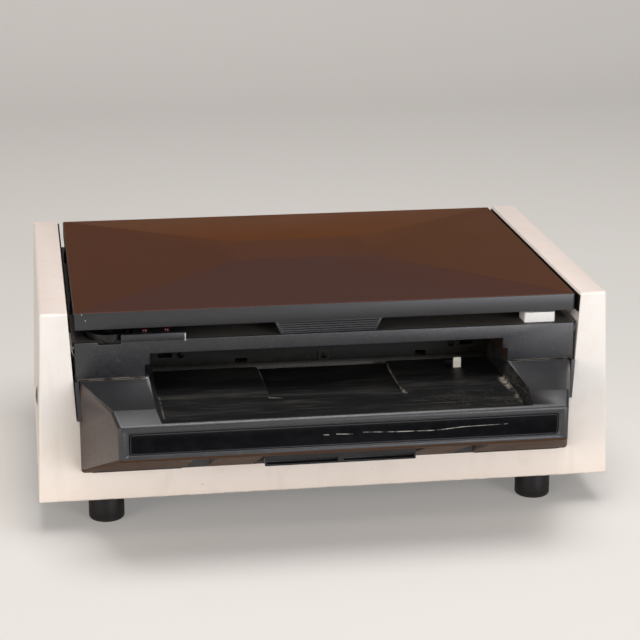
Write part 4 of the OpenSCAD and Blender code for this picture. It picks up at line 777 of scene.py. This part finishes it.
def islands(shape):
    """The separate solids of a merged mesh, as lists of points, in the mesh's own order."""
    seen = set()
    found = []
    for start in shape.verts:
        if start in seen:
            continue
        seen.add(start)
        reached = [start]
        for vert in reached:
            for edge in vert.link_edges:
                other = edge.other_vert(vert)
                if other not in seen:
                    seen.add(other)
                    reached.append(other)
        found.append([vert.co.copy() for vert in reached])
    return found


def read_screw(points):
    """Finds a screw's seat, axis and sizes from its points: the axis is the one with a round
    outline, and the head is at the end where the points lie furthest from it."""
    low = Vector([min(p[i] for p in points) for i in range(3)])
    high = Vector([max(p[i] for p in points) for i in range(3)])
    centre, size = (low + high) / 2, high - low
    axis = min(range(3), key=lambda i: abs(size[(i + 1) % 3] - size[(i + 2) % 3]))

    def from_axis(p):
        return math.hypot(*(p[i] - centre[i] for i in range(3) if i != axis))

    head_r = max(from_axis(p) for p in points)
    head = [p[axis] for p in points if from_axis(p) > HEAD_SHARE * head_r]
    outwards = 1 if max(head) > centre[axis] else -1
    head_h = max(head) - min(head)
    length = size[axis] - head_h
    tip = centre[axis] - outwards * size[axis] / 2
    shank_r = max(from_axis(p) for p in points if abs(p[axis] - tip) < TIP_MM * MM)
    seat = centre.copy()
    seat[axis] = tip + outwards * length
    direction = Vector([outwards if i == axis else 0 for i in range(3)])
    sizes = tuple(round(v / MM, 2) for v in (head_r, head_h, shank_r, length))
    return seat, direction, sizes


def screw_tree():
    """Builds one cross-head screw and puts it on every point. Known fault: of the head, a short
    cylinder under a low dome, the boolean nodes leave only the cap, open below and with a gap
    to the shank."""
    tree = bpy.data.node_groups.new("cross_head_screws", "GeometryNodeTree")
    sizes = ("Head Radius", "Head Height", "Shank Radius", "Shank Length", "Cross Width")
    tree.interface.new_socket("Seats", in_out="INPUT", socket_type="NodeSocketGeometry")
    for name in sizes:
        tree.interface.new_socket(name, in_out="INPUT", socket_type="NodeSocketFloat")
    tree.interface.new_socket("Finish", in_out="INPUT", socket_type="NodeSocketMaterial")
    tree.interface.new_socket("Screws", in_out="OUTPUT", socket_type="NodeSocketGeometry")
    given = add(tree, "NodeGroupInput").outputs
    radius, height, shank, length, cross = (given[name] for name in sizes)

    # Head: a short cylinder cut to a low dome
    middle = add(tree, "ShaderNodeMath", {0: height, 1: 0.5}, operation="MULTIPLY")
    lift = add(tree, "ShaderNodeCombineXYZ", {"Z": middle})
    barrel = add(tree, "GeometryNodeMeshCylinder", {
        "Vertices": HEAD_SIDES, "Radius": radius, "Depth": height})
    barrel = add(tree, "GeometryNodeTransform", {"Geometry": barrel, "Translation": lift})
    wide = add(tree, "ShaderNodeMath", {0: radius, 1: DOME_WIDE}, operation="MULTIPLY")
    tall = add(tree, "ShaderNodeMath", {0: height, 1: DOME_TALL}, operation="MULTIPLY")
    stretch = add(tree, "ShaderNodeCombineXYZ", {"X": wide, "Y": wide, "Z": tall})
    ball = add(tree, "GeometryNodeMeshUVSphere", {
        "Segments": HEAD_SIDES, "Rings": DOME_RINGS, "Radius": 1.0})
    dome = add(tree, "GeometryNodeTransform", {"Geometry": ball, "Scale": stretch})
    head = add(tree, "GeometryNodeMeshBoolean", {"Mesh 2": [barrel, dome]}, operation="INTERSECT")

    # Cross slot sunk in the head's top
    reach = add(tree, "ShaderNodeMath", {0: radius, 1: SLOT_REACH}, operation="MULTIPLY")
    depth = add(tree, "ShaderNodeMath", {0: height, 1: SLOT_RISE}, operation="MULTIPLY")
    rise = add(tree, "ShaderNodeCombineXYZ", {"Z": depth})
    bars = []
    for across, along in ((reach, cross), (cross, reach)):
        size = add(tree, "ShaderNodeCombineXYZ", {"X": across, "Y": along, "Z": height})
        bar = add(tree, "GeometryNodeMeshCube", {"Size": size})
        bars.append(add(tree, "GeometryNodeTransform", {"Geometry": bar, "Translation": rise}))
    head = add(tree, "GeometryNodeMeshBoolean", {"Mesh 1": head, "Mesh 2": bars},
               operation="DIFFERENCE")

    # Shank below the head
    drop = add(tree, "ShaderNodeMath", {0: length, 1: -SHANK_DROP}, operation="MULTIPLY")
    below = add(tree, "ShaderNodeCombineXYZ", {"Z": drop})
    rod = add(tree, "GeometryNodeMeshCylinder", {
        "Vertices": SHANK_SIDES, "Radius": shank, "Depth": length})
    rod = add(tree, "GeometryNodeTransform", {"Geometry": rod, "Translation": below})
    screw = add(tree, "GeometryNodeMeshBoolean", {"Mesh 2": [head, rod]}, operation="UNION")

    # One screw on every seat, turned as the seat's own attribute says
    turn = add(
        tree, "GeometryNodeInputNamedAttribute", {"Name": "turn"}, data_type="FLOAT_VECTOR")
    facing = add(tree, "FunctionNodeEulerToRotation", {0: turn})
    placed = add(tree, "GeometryNodeInstanceOnPoints", {
        "Points": given["Seats"], "Instance": screw, "Rotation": facing})
    whole = add(tree, "GeometryNodeRealizeInstances", {"Geometry": placed})
    coloured = add(tree, "GeometryNodeSetMaterial", {
        "Geometry": whole, "Material": given["Finish"]})
    add(tree, "NodeGroupOutput", {"Screws": coloured})
    return tree


def grown(name, mesh, tree, values):
    """Runs a tree on a mesh with its inputs by name and returns the plain mesh it makes."""
    seed = bpy.data.objects.new(name, mesh)
    bpy.context.scene.collection.objects.link(seed)
    modifier = seed.modifiers.new(name, "NODES")
    modifier.node_group = tree
    for item in tree.interface.items_tree:
        if item.in_out == "INPUT" and item.name in values:
            modifier[item.identifier] = values[item.name]
    depsgraph = bpy.context.evaluated_depsgraph_get()
    result = bpy.data.meshes.new_from_object(seed.evaluated_get(depsgraph))
    seed.modifiers.remove(modifier)
    bpy.data.objects.remove(seed)
    return result


SCREWS = screw_tree()


def make_screws(node, finish):
    """Replaces a group of plain screws by domed ones in the same seats."""
    shape = merged_copy(node)
    groups = {}
    for points in islands(shape):
        seat, direction, sizes = read_screw(points)
        groups.setdefault(sizes, []).append((seat, direction))
    shape.free()
    whole = bmesh.new()
    for sizes, seats in sorted(groups.items()):
        points = bpy.data.meshes.new(node + "_seats")
        points.from_pydata([seat for seat, _ in seats], [], [])
        turns = points.attributes.new("turn", "FLOAT_VECTOR", "POINT")
        for i, (_, direction) in enumerate(seats):
            spin = Quaternion((0, 0, 1), SCREW_TURN * (i + 1))
            turns.data[i].vector = (direction.to_track_quat("Z", "Y") @ spin).to_euler()
        head_r, head_h, shank_r, length = (v * MM for v in sizes)
        made = grown(node + "_seed", points, SCREWS, {
            "Head Radius": head_r, "Head Height": head_h, "Shank Radius": shank_r,
            "Shank Length": length, "Cross Width": CROSS_WIDTH_MM * MM, "Finish": finish})
        whole.from_mesh(made)
    place_piece(node, whole).materials.append(finish)


# The lid's facets lean so little that only these sizes tell them from its rounded edges
LID_FACET_MM2 = 400
LID_FACET_DEG = 0.4

for node in frame["nodes"]:
    look = FINISH_OF.get(node, MATERIALS[SLOT_OF[node]])
    if node.endswith("_screws"):
        make_screws(node, look)
    else:
        dressed = dress(node, BEVELS.get(node, 0), look, SECOND_FINISHES.get(node, ()))
        if node == "lid":
            crisp_facets(dressed, LID_FACET_MM2, LID_FACET_DEG)


# Studio, in metres
SWEEP_HALF, SWEEP_FRONT, SWEEP_BACK = 9.0, -8.0, 2.6
SWEEP_HEIGHT, SWEEP_RADIUS = 4.0, 1.0
SWEEP_STEPS = 12
DIM_FROM_MM, DIM_FULLY_MM = 350, 900
PAPER_GLOW = 0.2
AIR_STRENGTH = 0.34


def make_stage():
    """A pale paper sweep: floor that curves up into a wall well behind the object, and turns a
    dim brown higher up, which the lid and the black fronts mirror."""
    bend = SWEEP_BACK - SWEEP_RADIUS
    arc = [math.radians(90 / SWEEP_STEPS * i) for i in range(SWEEP_STEPS + 1)]
    profile = [(SWEEP_FRONT, 0.0)]
    profile += [(bend + SWEEP_RADIUS * math.sin(a), SWEEP_RADIUS * (1 - math.cos(a))) for a in arc]
    profile.append((SWEEP_BACK, SWEEP_HEIGHT))
    shape = bmesh.new()
    left, right = (
        [shape.verts.new((x, y, z)) for y, z in profile] for x in (-SWEEP_HALF, SWEEP_HALF))
    for i in range(len(profile) - 1):
        shape.faces.new((left[i], right[i], right[i + 1], left[i + 1]))
    mesh = bpy.data.meshes.new("studio_sweep")
    shape.to_mesh(mesh)
    shape.free()
    mesh.shade_smooth()
    sweep = bpy.data.objects.new("studio_sweep", mesh)
    bpy.context.scene.collection.objects.link(sweep)
    material, tree, place = new_material("studio_paper")
    high = ramp_to(tree, place, "Z", DIM_FROM_MM, DIM_FULLY_MM)
    colour = coat(tree, linear("#D2CEC9"), high, 1.0, "#6E5B4C")
    glow_colour = coat(tree, linear("#F2EFEB"), high, 1.0, "#3C2E24")
    paper = add(tree, "ShaderNodeBsdfDiffuse", {"Color": colour})
    # The glow is for the camera and for what mirrors the paper, and lights nothing else
    rays = add(tree, "ShaderNodeLightPath").outputs
    seen = either(tree, [
        rays["Is Camera Ray"], rays["Is Glossy Ray"], rays["Is Transmission Ray"]])
    strength = add(tree, "ShaderNodeMath", {0: seen, 1: PAPER_GLOW}, operation="MULTIPLY")
    glow = add(tree, "ShaderNodeEmission", {"Color": glow_colour, "Strength": strength})
    both = add(tree, "ShaderNodeAddShader", {0: paper, 1: glow})
    add(tree, "ShaderNodeOutputMaterial", {"Surface": both})
    mesh.materials.append(material)


# Each lamp's place and target, its width and height, its power in watts and its colour
LAMPS = {
    "softbox_right": ((1.24, -2.2, 0.52), (0.1, -0.1, 0.13), (1.1, 0.95), 26, "#F6F8FF"),
    "softbox_left": ((-2.7, -2.25, 0.9), (-0.05, -0.1, 0.08), (2.2, 1.7), 45, "#FFF8F2"),
    "softbox_top": ((0.1, -0.35, 1.9), (0.0, 0.0, 0.1), (1.2, 1.2), 24, "#FFFFFF"),
}


def soft_light(name, place, target, size, watts, colour):
    """A flat rectangular lamp that faces its target."""
    data = bpy.data.lights.new(name, "AREA")
    data.shape = "RECTANGLE"
    data.size, data.size_y = size
    data.energy = watts
    data.color = linear(colour)[:3]
    light = bpy.data.objects.new(name, data)
    bpy.context.scene.collection.objects.link(light)
    light.location = place
    aim = Vector(target) - Vector(place)
    light.rotation_euler = aim.to_track_quat("-Z", "Y").to_euler()


make_stage()
for name, lamp in LAMPS.items():
    soft_light(name, *lamp)
world = bpy.data.worlds.new("studio_air")
bpy.context.scene.world = world
world.use_nodes = True
air = world.node_tree.nodes["Background"].inputs
air["Color"].default_value = linear("#F4F2EF")
air["Strength"].default_value = AIR_STRENGTH
bpy.context.scene.view_settings.view_transform = "Standard"
